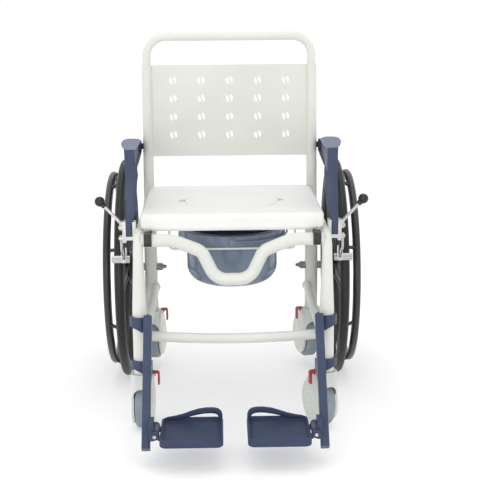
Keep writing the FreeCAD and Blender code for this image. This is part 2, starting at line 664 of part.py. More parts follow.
def pan_carrier():
    radius = CARRIER_WIRE / 2
    z = PAN_APRON_LOW - radius - BODY_GAP
    front = [V(-CARRIER_POST_X, CARRIER_FRONT, SEAT_BOTTOM), V(-CARRIER_POST_X, CARRIER_FRONT, z),
             V(CARRIER_POST_X, CARRIER_FRONT, z), V(CARRIER_POST_X, CARRIER_FRONT, SEAT_BOTTOM)]
    wires = [bent_rod(radius, front, [CARRIER_BEND] * 2)]
    for side in (-1, 1):
        inner, outer = side * CARRIER_RUNNER_X, side * CARRIER_POST_X
        runner = [V(inner, CARRIER_FRONT, z), V(inner, CARRIER_BACK, z),
                  V(outer, CARRIER_BACK, z), V(outer, CARRIER_BACK, SEAT_BOTTOM)]
        wires.append(bent_rod(radius, runner, [CARRIER_BEND] * 2))
    return joined(*wires)


# Armrest: deep rail on a pivot, broad pad, front strip and a tongue that drops into the fork
def arm_point(x):
    return V(x, ARM_PIVOT_Y, ARM_PIVOT_Z)


def arm_pivot():
    sleeve = rod(HOOP_DIAMETER / 2 + PANEL_WRAP, lean_point(FRAME_HALF, PANEL_BOTTOM - LEAN_START),
                 lean_point(FRAME_HALF, PANEL_TOP - LEAN_START))
    inner = ARM_RAIL_X - ARM_RAIL_WIDTH / 2 - BODY_GAP
    outer = ARM_RAIL_X + ARM_RAIL_WIDTH / 2 + BODY_GAP
    bush = rod(ARM_BUSH_RADIUS, arm_point(FRAME_HALF), arm_point(inner))
    pin = rod(ARM_PIVOT_PIN / 2, arm_point(FRAME_HALF), arm_point(outer))
    cap = rod(ARM_CAP_RADIUS, arm_point(outer), arm_point(outer + ARM_CAP_THICK))
    pieces = joined(bush, pin, cap).cut(sleeve)
    return max(pieces.Solids, key=lambda s: s.Volume)


def arm_side():
    """Side view: the rail deepens towards the strip."""
    behind = ARM_FRONT + ARM_STRIP_DEPTH
    foot = FORK_FLOOR + BODY_GAP
    return [V(0, ARM_PIVOT_Y, ARM_PIVOT_Z + ARM_KNUCKLE), V(0, ARM_FRONT, ARM_TOP - ARM_RAIL_DROP),
            V(0, ARM_FRONT, foot), V(0, behind, foot),
            V(0, behind, ARM_UNDER[1] - ARM_HEEL), V(0, behind + ARM_HEEL, ARM_UNDER[1]),
            V(0, ARM_PIVOT_Y, ARM_UNDER[0])]


def armrest():
    rail = (ARM_RAIL_X - ARM_RAIL_WIDTH / 2, ARM_RAIL_X + ARM_RAIL_WIDTH / 2)
    strip = ARM_STRIP_SPAN
    tongue = (TONGUE_X - TONGUE_WIDTH / 2, TONGUE_X + TONGUE_WIDTH / 2)
    foot = FORK_FLOOR + BODY_GAP
    strip_back = ARM_FRONT + ARM_STRIP_DEPTH
    side = outline(arm_side()).extrude(V(rail[1], 0, 0))
    straight = ARM_PIVOT_Y - ARM_KNUCKLE
    plan = outline([V(rail[0], ARM_PIVOT_Y, foot), V(rail[0], straight, foot), V(strip[0], strip_back, foot),
                    V(strip[0], ARM_FRONT, foot), V(strip[1], ARM_FRONT, foot), V(strip[1], strip_back, foot),
                    V(rail[1], straight, foot), V(rail[1], ARM_PIVOT_Y, foot)])
    front = outline([V(strip[0], ARM_FRONT, ARM_TOP), V(strip[0], ARM_FRONT, ARM_TAPER_Z),
                     V(tongue[0], ARM_FRONT, TONGUE_TOP), V(tongue[0], ARM_FRONT, foot),
                     V(tongue[1], ARM_FRONT, foot), V(tongue[1], ARM_FRONT, TONGUE_TOP),
                     V(rail[1], ARM_FRONT, ARM_TAPER_Z), V(rail[1], ARM_FRONT, ARM_TOP)])
    beam = side.common(plan.extrude(V(0, 0, ARM_TOP - foot)))
    beam = beam.common(front.extrude(V(0, ARM_PIVOT_Y - ARM_FRONT, 0)))
    nose = [e for e in beam.Edges
            if e.BoundBox.YMax < ARM_FRONT + 0.01 and e.BoundBox.ZMin > ARM_TOP - ARM_RAIL_DROP - 0.01]
    beam = beam.makeFillet(ARM_NOSE, nose)
    pad_back = ARM_FRONT - PAD_OVERHANG + PAD_LENGTH
    pad_front = ARM_FRONT - PAD_OVERHANG
    pad_plan = outline([V(PAD_SPAN[0], pad_front, foot), V(PAD_SPAN[1], pad_front, foot),
                        V(rail[1], pad_back, foot), V(rail[0] - PAD_TAIL, pad_back, foot)])
    pad = pad_plan.extrude(V(0, 0, ARM_TOP - foot))
    corners = [e for e in pad.Edges if e.BoundBox.YMax < ARM_FRONT and e.BoundBox.XLength < 0.01]
    pad = pad.makeFillet(PAD_CORNER, corners)
    slope = (ARM_TOP - ARM_PIVOT_Z - ARM_KNUCKLE) / (ARM_PIVOT_Y - ARM_FRONT)
    ends = [V(0, pad_front, ARM_TOP), V(0, pad_back, ARM_TOP - slope * (PAD_LENGTH - PAD_OVERHANG))]
    band = outline([ends[0], ends[1], ends[1] - V(0, 0, PAD_DEPTH), ends[0] - V(0, 0, PAD_DEPTH)])
    pad = pad.common(band.extrude(V(rail[1], 0, 0)))
    crown = [e for e in pad.Edges if all(v.Z > ARM_TOP - slope * (v.Y - pad_front) - 1 for v in e.Vertexes)]
    pad = pad.makeFillet(PAD_EDGE, [e for e in crown if e.BoundBox.YMin < pad_back - 1])
    knuckle = rod(ARM_KNUCKLE, arm_point(rail[0]), arm_point(rail[1]))
    bore = rod(ARM_PIVOT_PIN / 2 + RUNNING_FIT, arm_point(rail[0]), arm_point(rail[1]))
    return joined(beam, pad, knuckle).cut(bore)


def fork_span():
    slot = TONGUE_WIDTH / 2 + SLIDE_GAP
    return TONGUE_X - slot, TONGUE_X + slot


def arm_fork():
    inner, outer = fork_span()
    y = (ARM_STRIP_Y - FORK_LENGTH / 2, ARM_STRIP_Y + FORK_LENGTH / 2)
    base = FORK_FLOOR - FORK_BASE
    body = block((FRAME_HALF, outer + FORK_WALL), y, (base, FORK_TOP))
    body = body.cut(block((inner, outer), y, (FORK_FLOOR, FORK_TOP)))
    body = body.cut(block((FRAME_HALF, inner - FORK_WALL), y, (RAIL_Z, FORK_TOP)))
    body = body.cut(rod(RAIL_DIAMETER / 2, V(FRAME_HALF, y[0], RAIL_Z), V(FRAME_HALF, y[1], RAIL_Z)))
    body = body.cut(block((FRAME_HALF, FRAME_HALF + RAIL_DIAMETER / 2 - WELD_SINK), y, (base, RAIL_Z)))
    face = outer + FORK_WALL
    ear = block((outer, face), y, (SHOE_PIVOT_Z - FORK_EAR_DROP, base))
    pins = [rod(LOCK_PIN / 2, V(face, ARM_STRIP_Y, z), V(face + LOCK_PIN_LENGTH, ARM_STRIP_Y, z))
            for z in (LEVER_PIVOT_Z, SHOE_PIVOT_Z)]
    return joined(max(body.Solids, key=lambda s: s.Volume), ear, *pins)


# Wheel lock: lever with a ball knob, and the shoe arm with its toothed bar
def lock_lever():
    x = (LEVER_PLANE, LEVER_PLANE + LEVER_PLATE)
    eye = rod(LOCK_PIN, V(x[0], ARM_STRIP_Y, LEVER_PIVOT_Z), V(x[1], ARM_STRIP_Y, LEVER_PIVOT_Z))
    plate = block(x, (ARM_STRIP_Y - LEVER_HALF, ARM_STRIP_Y + LEVER_HALF),
                  (LEVER_PIVOT_Z, LEVER_PIVOT_Z + LEVER_RISE))
    root = V(sum(x) / 2, ARM_STRIP_Y, LEVER_PIVOT_Z + LEVER_ROOT)
    knob = V(KNOB_X, KNOB_Y, KNOB_Z)
    arm = rod(LEVER_ROD / 2, root, knob - (knob - root).normalize() * KNOB_RADIUS)
    bore = rod(LOCK_PIN / 2 + RUNNING_FIT, V(x[0] - CUT_PAST, ARM_STRIP_Y, LEVER_PIVOT_Z),
               V(x[1] + CUT_PAST, ARM_STRIP_Y, LEVER_PIVOT_Z))
    return joined(eye, plate, arm).cut(bore), root, knob


def lock_knob(root, knob):
    back = (root - knob).normalize()
    ball = Part.makeSphere(KNOB_RADIUS, knob)
    neck_foot = LEVER_ROD / 2 + NECK_WALL
    neck = Part.makeCone(NECK_TOP_RADIUS, neck_foot, NECK_LENGTH, knob + back * NECK_START, back)
    stem = rod(LEVER_ROD / 2, knob + back * KNOB_RADIUS, root)
    return joined(ball, neck).cut(stem)


def lock_shoe():
    x = (LEVER_PLANE, LEVER_PLANE + LEVER_PLATE)
    eye = rod(LOCK_PIN, V(x[0], ARM_STRIP_Y, SHOE_PIVOT_Z), V(x[1], ARM_STRIP_Y, SHOE_PIVOT_Z))
    middle = sum(x) / 2
    bar_centre = V(middle, SHOE_BAR_Y, SHOE_BAR_Z)
    start = V(middle, ARM_STRIP_Y, SHOE_PIVOT_Z - SHOE_ROOT_DROP)
    elbow = V(middle, ARM_STRIP_Y, SHOE_PIVOT_Z - SHOE_ELBOW_DROP)
    arm = bent_rod(SHOE_ROD / 2, [start, elbow, bar_centre], [SHOE_BEND])
    bar = rod(SHOE_BAR_RADIUS, *[V(x_end, SHOE_BAR_Y, SHOE_BAR_Z) for x_end in SHOE_BAR_X])
    groove = SHOE_BAR_RADIUS * math.pi / SHOE_TEETH / 2
    cuts = []
    for tooth in range(SHOE_TEETH):
        angle = 2 * math.pi * (tooth + 0.5) / SHOE_TEETH
        y = SHOE_BAR_Y + SHOE_BAR_RADIUS * math.cos(angle)
        z = SHOE_BAR_Z + SHOE_BAR_RADIUS * math.sin(angle)
        cuts.append(rod(groove, V(SHOE_BAR_X[0], y, z), V(SHOE_BAR_X[1], y, z)))
    bore = rod(LOCK_PIN / 2 + RUNNING_FIT, V(x[0] - CUT_PAST, ARM_STRIP_Y, SHOE_PIVOT_Z),
               V(x[1] + CUT_PAST, ARM_STRIP_Y, SHOE_PIVOT_Z))
    return joined(eye, arm, bar.cut(cuts)).cut(bore)


# Drive wheel: every piece is turned about the axle
def axle_point(x):
    return V(x, 0, AXLE_Z)


def ring_solid(x, outer, inner, width):
    start, end = axle_point(x - width / 2), axle_point(x + width / 2)
    return rod(outer, start, end).cut(rod(inner, start, end))


def tyre():
    body = Part.makeTorus(TYRE_RADIUS - TYRE_SECTION / 2, TYRE_SECTION / 2, axle_point(WHEEL_PLANE), AXIS_X)
    seat_radius = TYRE_RADIUS - TYRE_SECTION / 2 - TYRE_SEAT
    half = TYRE_SECTION
    return body.cut(rod(seat_radius, axle_point(WHEEL_PLANE - half), axle_point(WHEEL_PLANE + half)))


def rim():
    outer = TYRE_RADIUS - TYRE_SECTION / 2 - TYRE_SEAT
    body = ring_solid(WHEEL_PLANE, outer, outer - RIM_DEPTH, RIM_WIDTH)
    inner_edges = [e for e in body.Edges if isinstance(e.Curve, Part.Circle)
                   and abs(e.Curve.Radius - (outer - RIM_DEPTH)) < 0.01]
    return body.makeChamfer(RIM_CHAMFER, inner_edges)


def hub():
    barrel = rod(HUB_RADIUS, axle_point(HUB_INNER), axle_point(HUB_OUTER))
    for side in (-1, 1):
        flange = WHEEL_PLANE + side * (HUB_LENGTH / 2 - FLANGE_INSET)
        barrel = barrel.fuse(ring_solid(flange, FLANGE_RADIUS, HUB_RADIUS - FLANGE_ROOT, FLANGE_THICK))
    bore = rod(AXLE_DIAMETER / 2 + RUNNING_FIT, axle_point(HUB_INNER), axle_point(HUB_OUTER))
    return barrel.removeSplitter().cut(bore)


def spokes():
    """Moulded spider: broad arms from a boss between the hub's flanges out to the rim's inner face."""
    reach = TYRE_RADIUS - TYRE_SECTION / 2 - TYRE_SEAT - RIM_DEPTH
    flange_gap = HUB_LENGTH - 2 * FLANGE_INSET - FLANGE_THICK
    boss = ring_solid(WHEEL_PLANE, SPIDER_BOSS_RADIUS, HUB_RADIUS, flange_gap - 2 * BODY_GAP)
    across, half = (WHEEL_PLANE - SPOKE_THICK / 2, WHEEL_PLANE + SPOKE_THICK / 2), SPOKE_WIDTH / 2
    arms = []
    for index in range(SPOKE_COUNT):
        arm = block(across, (-half, half), (AXLE_Z, AXLE_Z + TYRE_RADIUS))
        arm.rotate(axle_point(0), AXIS_X, 360 * index / SPOKE_COUNT)
        arms.append(arm)
    return joined(boss, *arms).common(ring_solid(WHEEL_PLANE, reach, HUB_RADIUS, HUB_LENGTH))


def push_rim():
    ring = Part.makeTorus(PUSH_RIM_RADIUS, PUSH_RIM_TUBE / 2, axle_point(PUSH_RIM_PLANE), AXIS_X)
    rim_outer = TYRE_RADIUS - TYRE_SECTION / 2 - TYRE_SEAT
    posts = []
    for index in range(STANDOFF_COUNT):
        angle = 2 * math.pi * (index + 0.5) / STANDOFF_COUNT
        turn = V(0, math.cos(angle), math.sin(angle))
        start = axle_point(WHEEL_PLANE + RIM_WIDTH / 2) + turn * (rim_outer - RIM_DEPTH / 2)
        end = axle_point(PUSH_RIM_PLANE) + turn * PUSH_RIM_RADIUS
        posts.append(rod(STANDOFF_DIAMETER / 2, start, end))
    face = ring_solid(WHEEL_PLANE, rim_outer, rim_outer - RIM_DEPTH, RIM_WIDTH)
    return joined(ring, *posts).cut(face)


def axle_pin():
    head = HUB_OUTER + BODY_GAP
    radius = AXLE_DIAMETER / 2
    shaft = rod(radius, axle_point(AXLE_INNER_TIP + AXLE_TIP_LENGTH), axle_point(head))
    tip = Part.makeCone(radius - AXLE_TIP_TAPER, radius, AXLE_TIP_LENGTH, axle_point(AXLE_INNER_TIP), AXIS_X)
    cap = rod(AXLE_HEAD_RADIUS, axle_point(head), axle_point(head + AXLE_HEAD_THICK))
    outer = head + AXLE_HEAD_THICK
    bore = rod(BUTTON_DIAMETER / 2 + RUNNING_FIT,
               axle_point(outer + BUTTON_PROUD - BUTTON_LENGTH - BUTTON_TRAVEL - BODY_GAP), axle_point(outer))
    corners = []
    for k in range(6):
        turn = V(0, math.cos(math.pi * k / 3), math.sin(math.pi * k / 3))
        corners.append(axle_point(RECEIVER_INNER) + turn * AXLE_NUT_RADIUS)
    nut = outline(corners).extrude(V(-AXLE_NUT_THICK, 0, 0))
    return joined(shaft, tip, cap, nut).cut(bore)


def axle_button():
    outer = HUB_OUTER + BODY_GAP + AXLE_HEAD_THICK + BUTTON_PROUD
    stem = rod(BUTTON_DIAMETER / 2, axle_point(outer - BUTTON_LENGTH), axle_point(outer))
    top = [e for e in stem.Edges if e.BoundBox.XMin > outer - 0.01]
    return stem.makeFillet(BUTTON_EDGE, top)


# Caster, built about its stem with the wheel trailing towards +Y, then turned and set under a leg
def caster_hood(pedal_side):
    axle = V(0, CASTER_TRAIL, CASTER_WHEEL_RADIUS)
    half = HOOD_HALF
    tyre_half = half - CASTER_CHEEK
    disc = rod(CASTER_CHEEK_RADIUS, axle - V(half, 0, 0), axle + V(half, 0, 0))
    profile = [V(-half, -CASTER_CROWN_RADIUS, HOOD_TOP), V(-half, CASTER_CROWN_RADIUS, HOOD_TOP),
               V(-half, CASTER_TRAIL + HOOD_TAIL, CASTER_WHEEL_RADIUS + HOOD_SHOULDER),
               V(-half, CASTER_TRAIL, CASTER_WHEEL_RADIUS - HOOD_CHIN),
               V(-half, -CASTER_CROWN_RADIUS, CASTER_WHEEL_RADIUS + HOOD_BROW)]
    shell = fillet_along(outline(profile).extrude(V(2 * half, 0, 0)), HOOD_ROUND, AXIS_Z)
    arch = V(0, -CASTER_CROWN_RADIUS - CUT_PAST, CASTER_WHEEL_RADIUS + HOOD_BROW - HOOD_ARCH_DROP)
    shell = shell.cut(rod(tyre_half, arch, V(0, CASTER_TRAIL, arch.z)))
    gap = CASTER_WHEEL_RADIUS + CASTER_TREAD_GAP
    room = rod(gap, axle - V(tyre_half, 0, 0), axle + V(tyre_half, 0, 0))
    hood = joined(disc, shell).cut(room)
    ear_x = (pedal_side * (half - WELD_SINK), pedal_side * (PEDAL_X + PEDAL_EAR_PROUD))
    ear_z = (PEDAL_Z - PEDAL_EAR_HALF, PEDAL_Z + PEDAL_EAR_HALF)
    gap_y = PEDAL_WIDTH / 2 + BODY_GAP
    ears = [block(ear_x, (s * gap_y, s * (gap_y + PEDAL_EAR_THICK)), ear_z) for s in (-1, 1)]
    reach = V(0, gap_y + PEDAL_EAR_THICK, 0)
    pin_at = V(pedal_side * PEDAL_X, 0, PEDAL_Z)
    pin = rod(PEDAL_PIN / 2, pin_at - reach, pin_at + reach)
    hood = joined(hood, pin, *ears)
    bolt = rod(CASTER_AXLE / 2, axle - V(half, 0, 0), axle + V(half, 0, 0))
    stem = rod(CASTER_STEM / 2, V(0, 0, HOOD_TOP), V(0, 0, HOOD_TOP + CASTER_STEM_LENGTH))
    return [hood.cut(bolt), bolt, stem]


def caster_wheel():
    half = CASTER_WHEEL_WIDTH / 2
    axle = V(0, CASTER_TRAIL, CASTER_WHEEL_RADIUS)
    disc = rod(CASTER_WHEEL_RADIUS, axle - V(half, 0, 0), axle + V(half, 0, 0))
    rims = [e for e in disc.Edges if isinstance(e.Curve, Part.Circle)]
    disc = disc.makeFillet(TREAD_ROUND, rims)
    dish = CASTER_WHEEL_RADIUS - DISH_INSET
    for side in (-1, 1):
        disc = disc.cut(ring_at(axle + V(side * half, 0, 0), dish, DISH_BOSS_RADIUS, 2 * DISH_DEPTH))
    return disc.cut(rod(CASTER_AXLE / 2 + RUNNING_FIT, axle - V(half, 0, 0), axle + V(half, 0, 0)))


def ring_at(centre, outer, inner, width):
    start, end = centre - V(width / 2, 0, 0), centre + V(width / 2, 0, 0)
    return rod(outer, start, end).cut(rod(inner, start, end))


def caster_pedal(side):
    half = PEDAL_WIDTH / 2
    ends = V(side * PEDAL_X, -half, PEDAL_Z), V(side * PEDAL_X, half, PEDAL_Z)
    barrel = rod(PEDAL_BARREL, *ends)
    out = PEDAL_X + PEDAL_REACH
    skin = PEDAL_THICK / 2
    bend = PEDAL_X + PEDAL_RISE_RUN
    fold = out - PEDAL_THICK
    step = [(PEDAL_X, -skin), (PEDAL_X, skin), (bend, PEDAL_RISE + skin), (out, PEDAL_RISE + skin),
            (out, -PEDAL_DROP), (fold, -PEDAL_DROP), (fold, PEDAL_RISE - skin), (bend, PEDAL_RISE - skin)]
    strip = outline([V(side * x, -half, PEDAL_Z + z) for x, z in step]).extrude(V(0, PEDAL_WIDTH, 0))
    return joined(barrel, strip).cut(rod(PEDAL_PIN / 2 + RUNNING_FIT, *ends))


def placed_caster(shape, x, y, z, swivel):
    moved = shape.copy()
    moved.rotate(V(0, 0, 0), AXIS_Z, swivel)
    moved.translate(V(x, y, z))
    return moved


# Footrest: hanger with hooks round the front leg, and a tray with a heel loop
def leg_point(z):
    return V(FRAME_HALF, FRONT_LEG_Y, z)


def hanger_y(z):
    share = (HANGER_TOP[1] - z) / (HANGER_TOP[1] - HANGER_FOOT[1])
    return HANGER_TOP[0] + share * (HANGER_FOOT[0] - HANGER_TOP[0])


def footrest_hanger():
    inner, outer = HANGER_X - HANGER_WIDTH / 2, HANGER_X + HANGER_WIDTH / 2
    top, foot = V(inner, *HANGER_TOP), V(inner, *HANGER_FOOT)
    slope = (foot - top).normalize()
    across = V(0, -slope.z, slope.y) * (HANGER_DEPTH / 2)
    bar = outline([top - across, top + across, foot + across, foot - across]).extrude(V(HANGER_WIDTH, 0, 0))
    bar = fillet_along(bar, HANGER_EDGE, slope)
    pieces = []
    reach = HOOK_INNER + HOOK_WALL + CUT_PAST
    for (low, high), rise in zip((UPPER_HOOK, LOWER_HOOK), HOLLOW_RISES):
        ring = rod(HOOK_INNER + HOOK_WALL, leg_point(low), leg_point(high))
        hollow = V(HOLLOW_X, FRONT_LEG_Y - reach, low + rise - HOLLOW_RADIUS)
        ring = ring.cut(rod(HOLLOW_RADIUS, hollow, hollow + V(0, 2 * reach, 0)))
        arm_y = (hanger_y((low + high) / 2), FRONT_LEG_Y - HOOK_INNER + HOOK_WALL)
        arm = block((inner + WELD_SINK, outer - WELD_SINK), arm_y, (low, high))
        pieces += [ring, arm]
    arm_y = HINGE_BLOCK_Y
    pieces.append(block((HINGE_ARM_X, inner + WELD_SINK), arm_y, HINGE_ARM_Z))
    pieces.append(rod(HINGE_KNUCKLE, V(HINGE_X, arm_y[0], HINGE_Z), V(HINGE_X, arm_y[1], HINGE_Z)))
    hanger = joined(bar, *pieces)
    hanger = hanger.cut(rod(HOOK_INNER, leg_point(LOWER_HOOK[0]), leg_point(UPPER_HOOK[1])))
    mouth = block((FRAME_HALF - HOOK_MOUTH / 2, FRAME_HALF + HOOK_MOUTH / 2),
                  (FRONT_LEG_Y, FRONT_LEG_Y + HOOK_INNER + HOOK_WALL + CUT_PAST),
                  (LOWER_HOOK[0], UPPER_HOOK[1]))
    hanger = hanger.cut(mouth)
    hanger = hanger.cut(rod(HINGE_PIN / 2, V(HINGE_X, arm_y[0], HINGE_Z), V(HINGE_X, arm_y[1], HINGE_Z)))
    return max(hanger.Solids, key=lambda s: s.Volume)


def plate_knuckles():
    first = (HINGE_BLOCK_Y[0] - BODY_GAP - PLATE_KNUCKLE_WIDTH, HINGE_BLOCK_Y[0] - BODY_GAP)
    second = (HINGE_BLOCK_Y[1] + BODY_GAP, HINGE_BLOCK_Y[1] + BODY_GAP + PLATE_KNUCKLE_WIDTH)
    return first, second


def hinge_pin():
    first, second = plate_knuckles()
    return rod(HINGE_PIN / 2, V(HINGE_X, first[0] - HINGE_PIN_PROUD, HINGE_Z),
               V(HINGE_X, second[1] + HINGE_PIN_PROUD, HINGE_Z))


def heel_curve(points):
    """Slab behind the tray under a smooth curve, by steps inwards from its outer side and above its floor."""
    line = [V(PLATE_OUTER - inwards, PLATE_BACK, PLATE_FLOOR + rise) for inwards, rise in points]
    curve = Part.BSplineCurve()
    curve.interpolate(line)
    face = Part.Face(Part.Wire([curve.toShape(), Part.LineSegment(line[-1], line[0]).toShape()]))
    return face.extrude(V(0, -LOOP_THICK, 0))


def footplate():
    x, y = (PLATE_INNER, PLATE_OUTER), (PLATE_FRONT, PLATE_BACK)
    tray = fillet_along(block(x, y, (PLATE_BOTTOM, PLATE_RIM_TOP)), PLATE_CORNER, AXIS_Z)
    well = block((x[0] + PLATE_RIM, x[1] - PLATE_RIM), (y[0] + PLATE_RIM, y[1] - PLATE_RIM),
                 (PLATE_FLOOR, PLATE_RIM_TOP))
    tray = tray.cut(fillet_along(well, PLATE_CORNER - PLATE_RIM, AXIS_Z))
    loop = heel_curve(LOOP_OUTLINE).cut(heel_curve(LOOP_OPENING))
    pieces = [loop]
    for low_y, high_y in plate_knuckles():
        pieces.append(rod(PLATE_KNUCKLE, V(HINGE_X, low_y, HINGE_Z), V(HINGE_X, high_y, HINGE_Z)))
        pieces.append(block((x[1] - PLATE_RIM, HINGE_X), (low_y, high_y), (HINGE_Z - PLATE_KNUCKLE, HINGE_Z)))
    plate = joined(tray, *pieces)
    first, second = plate_knuckles()
    bore = rod(HINGE_PIN / 2 + RUNNING_FIT, V(HINGE_X, first[0] - CUT_PAST, HINGE_Z),
               V(HINGE_X, second[1] + CUT_PAST, HINGE_Z))
    return plate.cut(bore)


def main():
    os.makedirs("parts", exist_ok=True)
    side = side_tube()
    cross = lower_cross_tube()
    rail = lower_rail(cross)
    save_pair("side_tube", side)
    save_pair("rear_leg", rear_leg())
    save("lower_rails", rail, mirrored(rail))
    save("front_cross_tube", front_cross_tube(side))
    save("lower_cross_tube", cross)
    save("rear_cross_tube", rear_cross_tube())
    save("backrest_hoop", backrest_hoop())
    save("back_panel", back_panel())
    receiver = axle_receiver()
    save("axle_receivers", receiver, mirrored(receiver))
    pin = axle_pin()
    save("axle_pins", pin, mirrored(pin))
    save_pair("axle_button", axle_button())
    pivot = arm_pivot()
    save("arm_pivots", pivot, mirrored(pivot))
    save_pair("armrest", armrest())
    save_pair("arm_fork", arm_fork())
    save("seat", seat())
    save("seat_lid", seat_lid())
    clips = [seat_clip(FRONT_CLIP_X, FRONT_CROSS_Y, FRONT_CROSS_Z, FRONT_CROSS_DIAMETER / 2),
             seat_clip(REAR_CLIP_X, REAR_CROSS_Y, REAR_CROSS_Z, REAR_CROSS_DIAMETER / 2)]
    save("seat_clips", *clips, *[mirrored(clip) for clip in clips])
    save("pan", pan())
    save("pan_bail", pan_bail())
    save("pan_carrier", pan_carrier())
    lever, root, knob = lock_lever()
    save_pair("lock_lever", lever)
    save_pair("lock_knob", lock_knob(root, knob))
    save_pair("lock_shoe", lock_shoe())
    save_pair("tyre", tyre())
    save_pair("rim", rim())
    save_pair("hub", hub())
    save_pair("spokes", spokes())
    save_pair("push_rim", push_rim())
    for name, sign in (("right", 1), ("left", -1)):
        hood = Part.makeCompound(caster_hood(-sign))
        wheel = caster_wheel()
        pedal = caster_pedal(-sign)
        corners = (("front", FRONT_LEG_Y, FRONT_LEG_BOTTOM, FRONT_SWIVELS),
                   ("rear", 0, REAR_LEG_BOTTOM, REAR_SWIVELS))
        for corner, y, leg_bottom, swivels in corners:
            spot = (sign * FRAME_HALF, y, leg_bottom - CASTER_HEIGHT, swivels[name])
            for piece, shape in (("hood", hood), ("wheel", wheel), ("pedal", pedal)):
                save("caster_" + corner + "_" + name + "_" + piece, placed_caster(shape, *spot))
    save_pair("footrest_hanger", footrest_hanger())
    save_pair("footplate", footplate())
    save_pair("hinge_pin", hinge_pin())


if __name__ == "__main__":
    main()
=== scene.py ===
import bmesh
import bpy
import json
import math
from mathutils import Matrix, Vector


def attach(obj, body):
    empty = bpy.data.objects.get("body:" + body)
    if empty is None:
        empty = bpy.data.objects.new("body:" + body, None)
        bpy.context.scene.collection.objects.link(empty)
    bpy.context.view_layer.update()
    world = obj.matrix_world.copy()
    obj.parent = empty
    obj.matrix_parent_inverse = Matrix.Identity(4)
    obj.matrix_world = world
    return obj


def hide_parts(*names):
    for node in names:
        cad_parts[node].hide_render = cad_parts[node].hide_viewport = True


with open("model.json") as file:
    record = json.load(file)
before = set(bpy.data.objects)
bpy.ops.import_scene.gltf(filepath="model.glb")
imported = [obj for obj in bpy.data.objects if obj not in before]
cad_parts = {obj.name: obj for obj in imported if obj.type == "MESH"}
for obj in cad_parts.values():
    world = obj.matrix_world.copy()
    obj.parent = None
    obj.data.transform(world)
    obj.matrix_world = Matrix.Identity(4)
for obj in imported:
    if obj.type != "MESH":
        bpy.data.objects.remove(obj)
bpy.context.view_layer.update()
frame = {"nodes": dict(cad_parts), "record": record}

# Sizes are in millimetres, as in the part's source, where Y runs from the drive axle
MM = 0.001
AXLE_Y = 215.25
AXLE_Z = 295.5
WHEEL_X = 283.0
ACROSS, ALONG, UP = (1, 0, 0), (0, 1, 0), (0, 0, 1)


def at(x, y, z):
    """A point in millimetres, its Y from the drive axle, as the frame's metres."""
    return Vector((x * MM, (y + AXLE_Y) * MM, z * MM))


# Camera, fitted to the photograph on the drive wheels and the symmetric frame
CAMERA_PLACE = (-0.02495, -2.8572, 1.0186)
PITCH, YAW, ROLL = 0.2090, -0.0162, -0.0089
LENS, SENSOR = 85.95, 36.0


def place_camera():
    right = Vector((math.cos(YAW), math.sin(YAW), 0))
    level = Vector((-math.sin(YAW), math.cos(YAW), 0))
    ahead = level * math.cos(PITCH) - Vector((0, 0, math.sin(PITCH)))
    up = right.cross(ahead)
    across = right * math.cos(ROLL) + up * math.sin(ROLL)
    upward = up * math.cos(ROLL) - right * math.sin(ROLL)
    turn = Matrix((across, upward, -ahead)).transposed()
    data = bpy.data.cameras.new("photo_camera")
    data.sensor_width = SENSOR
    data.lens = LENS
    camera = bpy.data.objects.new("photo_camera", data)
    camera.matrix_world = Matrix.Translation(CAMERA_PLACE) @ turn.to_4x4()
    bpy.context.scene.collection.objects.link(camera)
    bpy.context.scene.camera = camera


place_camera()


def linear(code):
    """A hex sRGB colour as linear RGBA."""
    parts = [int(code[i:i + 2], 16) / 255 for i in (0, 2, 4)]
    return [c / 12.92 if c <= 0.04045 else ((c + 0.055) / 1.055) ** 2.4 for c in parts] + [1.0]


def add(material, kind, inputs, **settings):
    """Adds one node: settings are its own, inputs are values or another node's sockets."""
    node = material.node_tree.nodes.new(kind)
    for key, value in settings.items():
        setattr(node, key, value)
    for key, value in inputs.items():
        if isinstance(value, bpy.types.NodeSocket):
            material.node_tree.links.new(value, node.inputs[key])
        else:
            node.inputs[key].default_value = value
    return node


def new_material(name):
    material = bpy.data.materials.new(name)
    material.use_nodes = True
    material.node_tree.nodes.clear()
    return material


def lump_scale(size_mm):
    """The scale of a noise whose lumps are this far across: a scale of s gives 1 / (2 s) m."""
    return 1 / (2 * size_mm * MM)


# Studio: a white floor in a white room, a softbox overhead and a broad one behind the camera,
# to its left. The floor glows a little, so that shadows stay as pale as in the photograph.
WHITE = "FFFFFF"
PAPER_TONES = ("D6D6D6", "D8D8D8")
PAPER_LUMP = 125
PAPER_ROUGHNESS = 0.9
FLOOR_SIZE = 60
FLOOR_GLOW = 0.36
ROOM_STRENGTH = 1.0


def softbox(name, place, target, size, watts):
    data = bpy.data.lights.new(name, "AREA")
    data.shape = "RECTANGLE"
    data.size, data.size_y = size
    data.energy = watts
    lamp = bpy.data.objects.new(name, data)
    lamp.location = place
    aim = Vector(target) - Vector(place)
    lamp.rotation_euler = aim.to_track_quat("-Z", "Y").to_euler()
    bpy.context.scene.collection.objects.link(lamp)


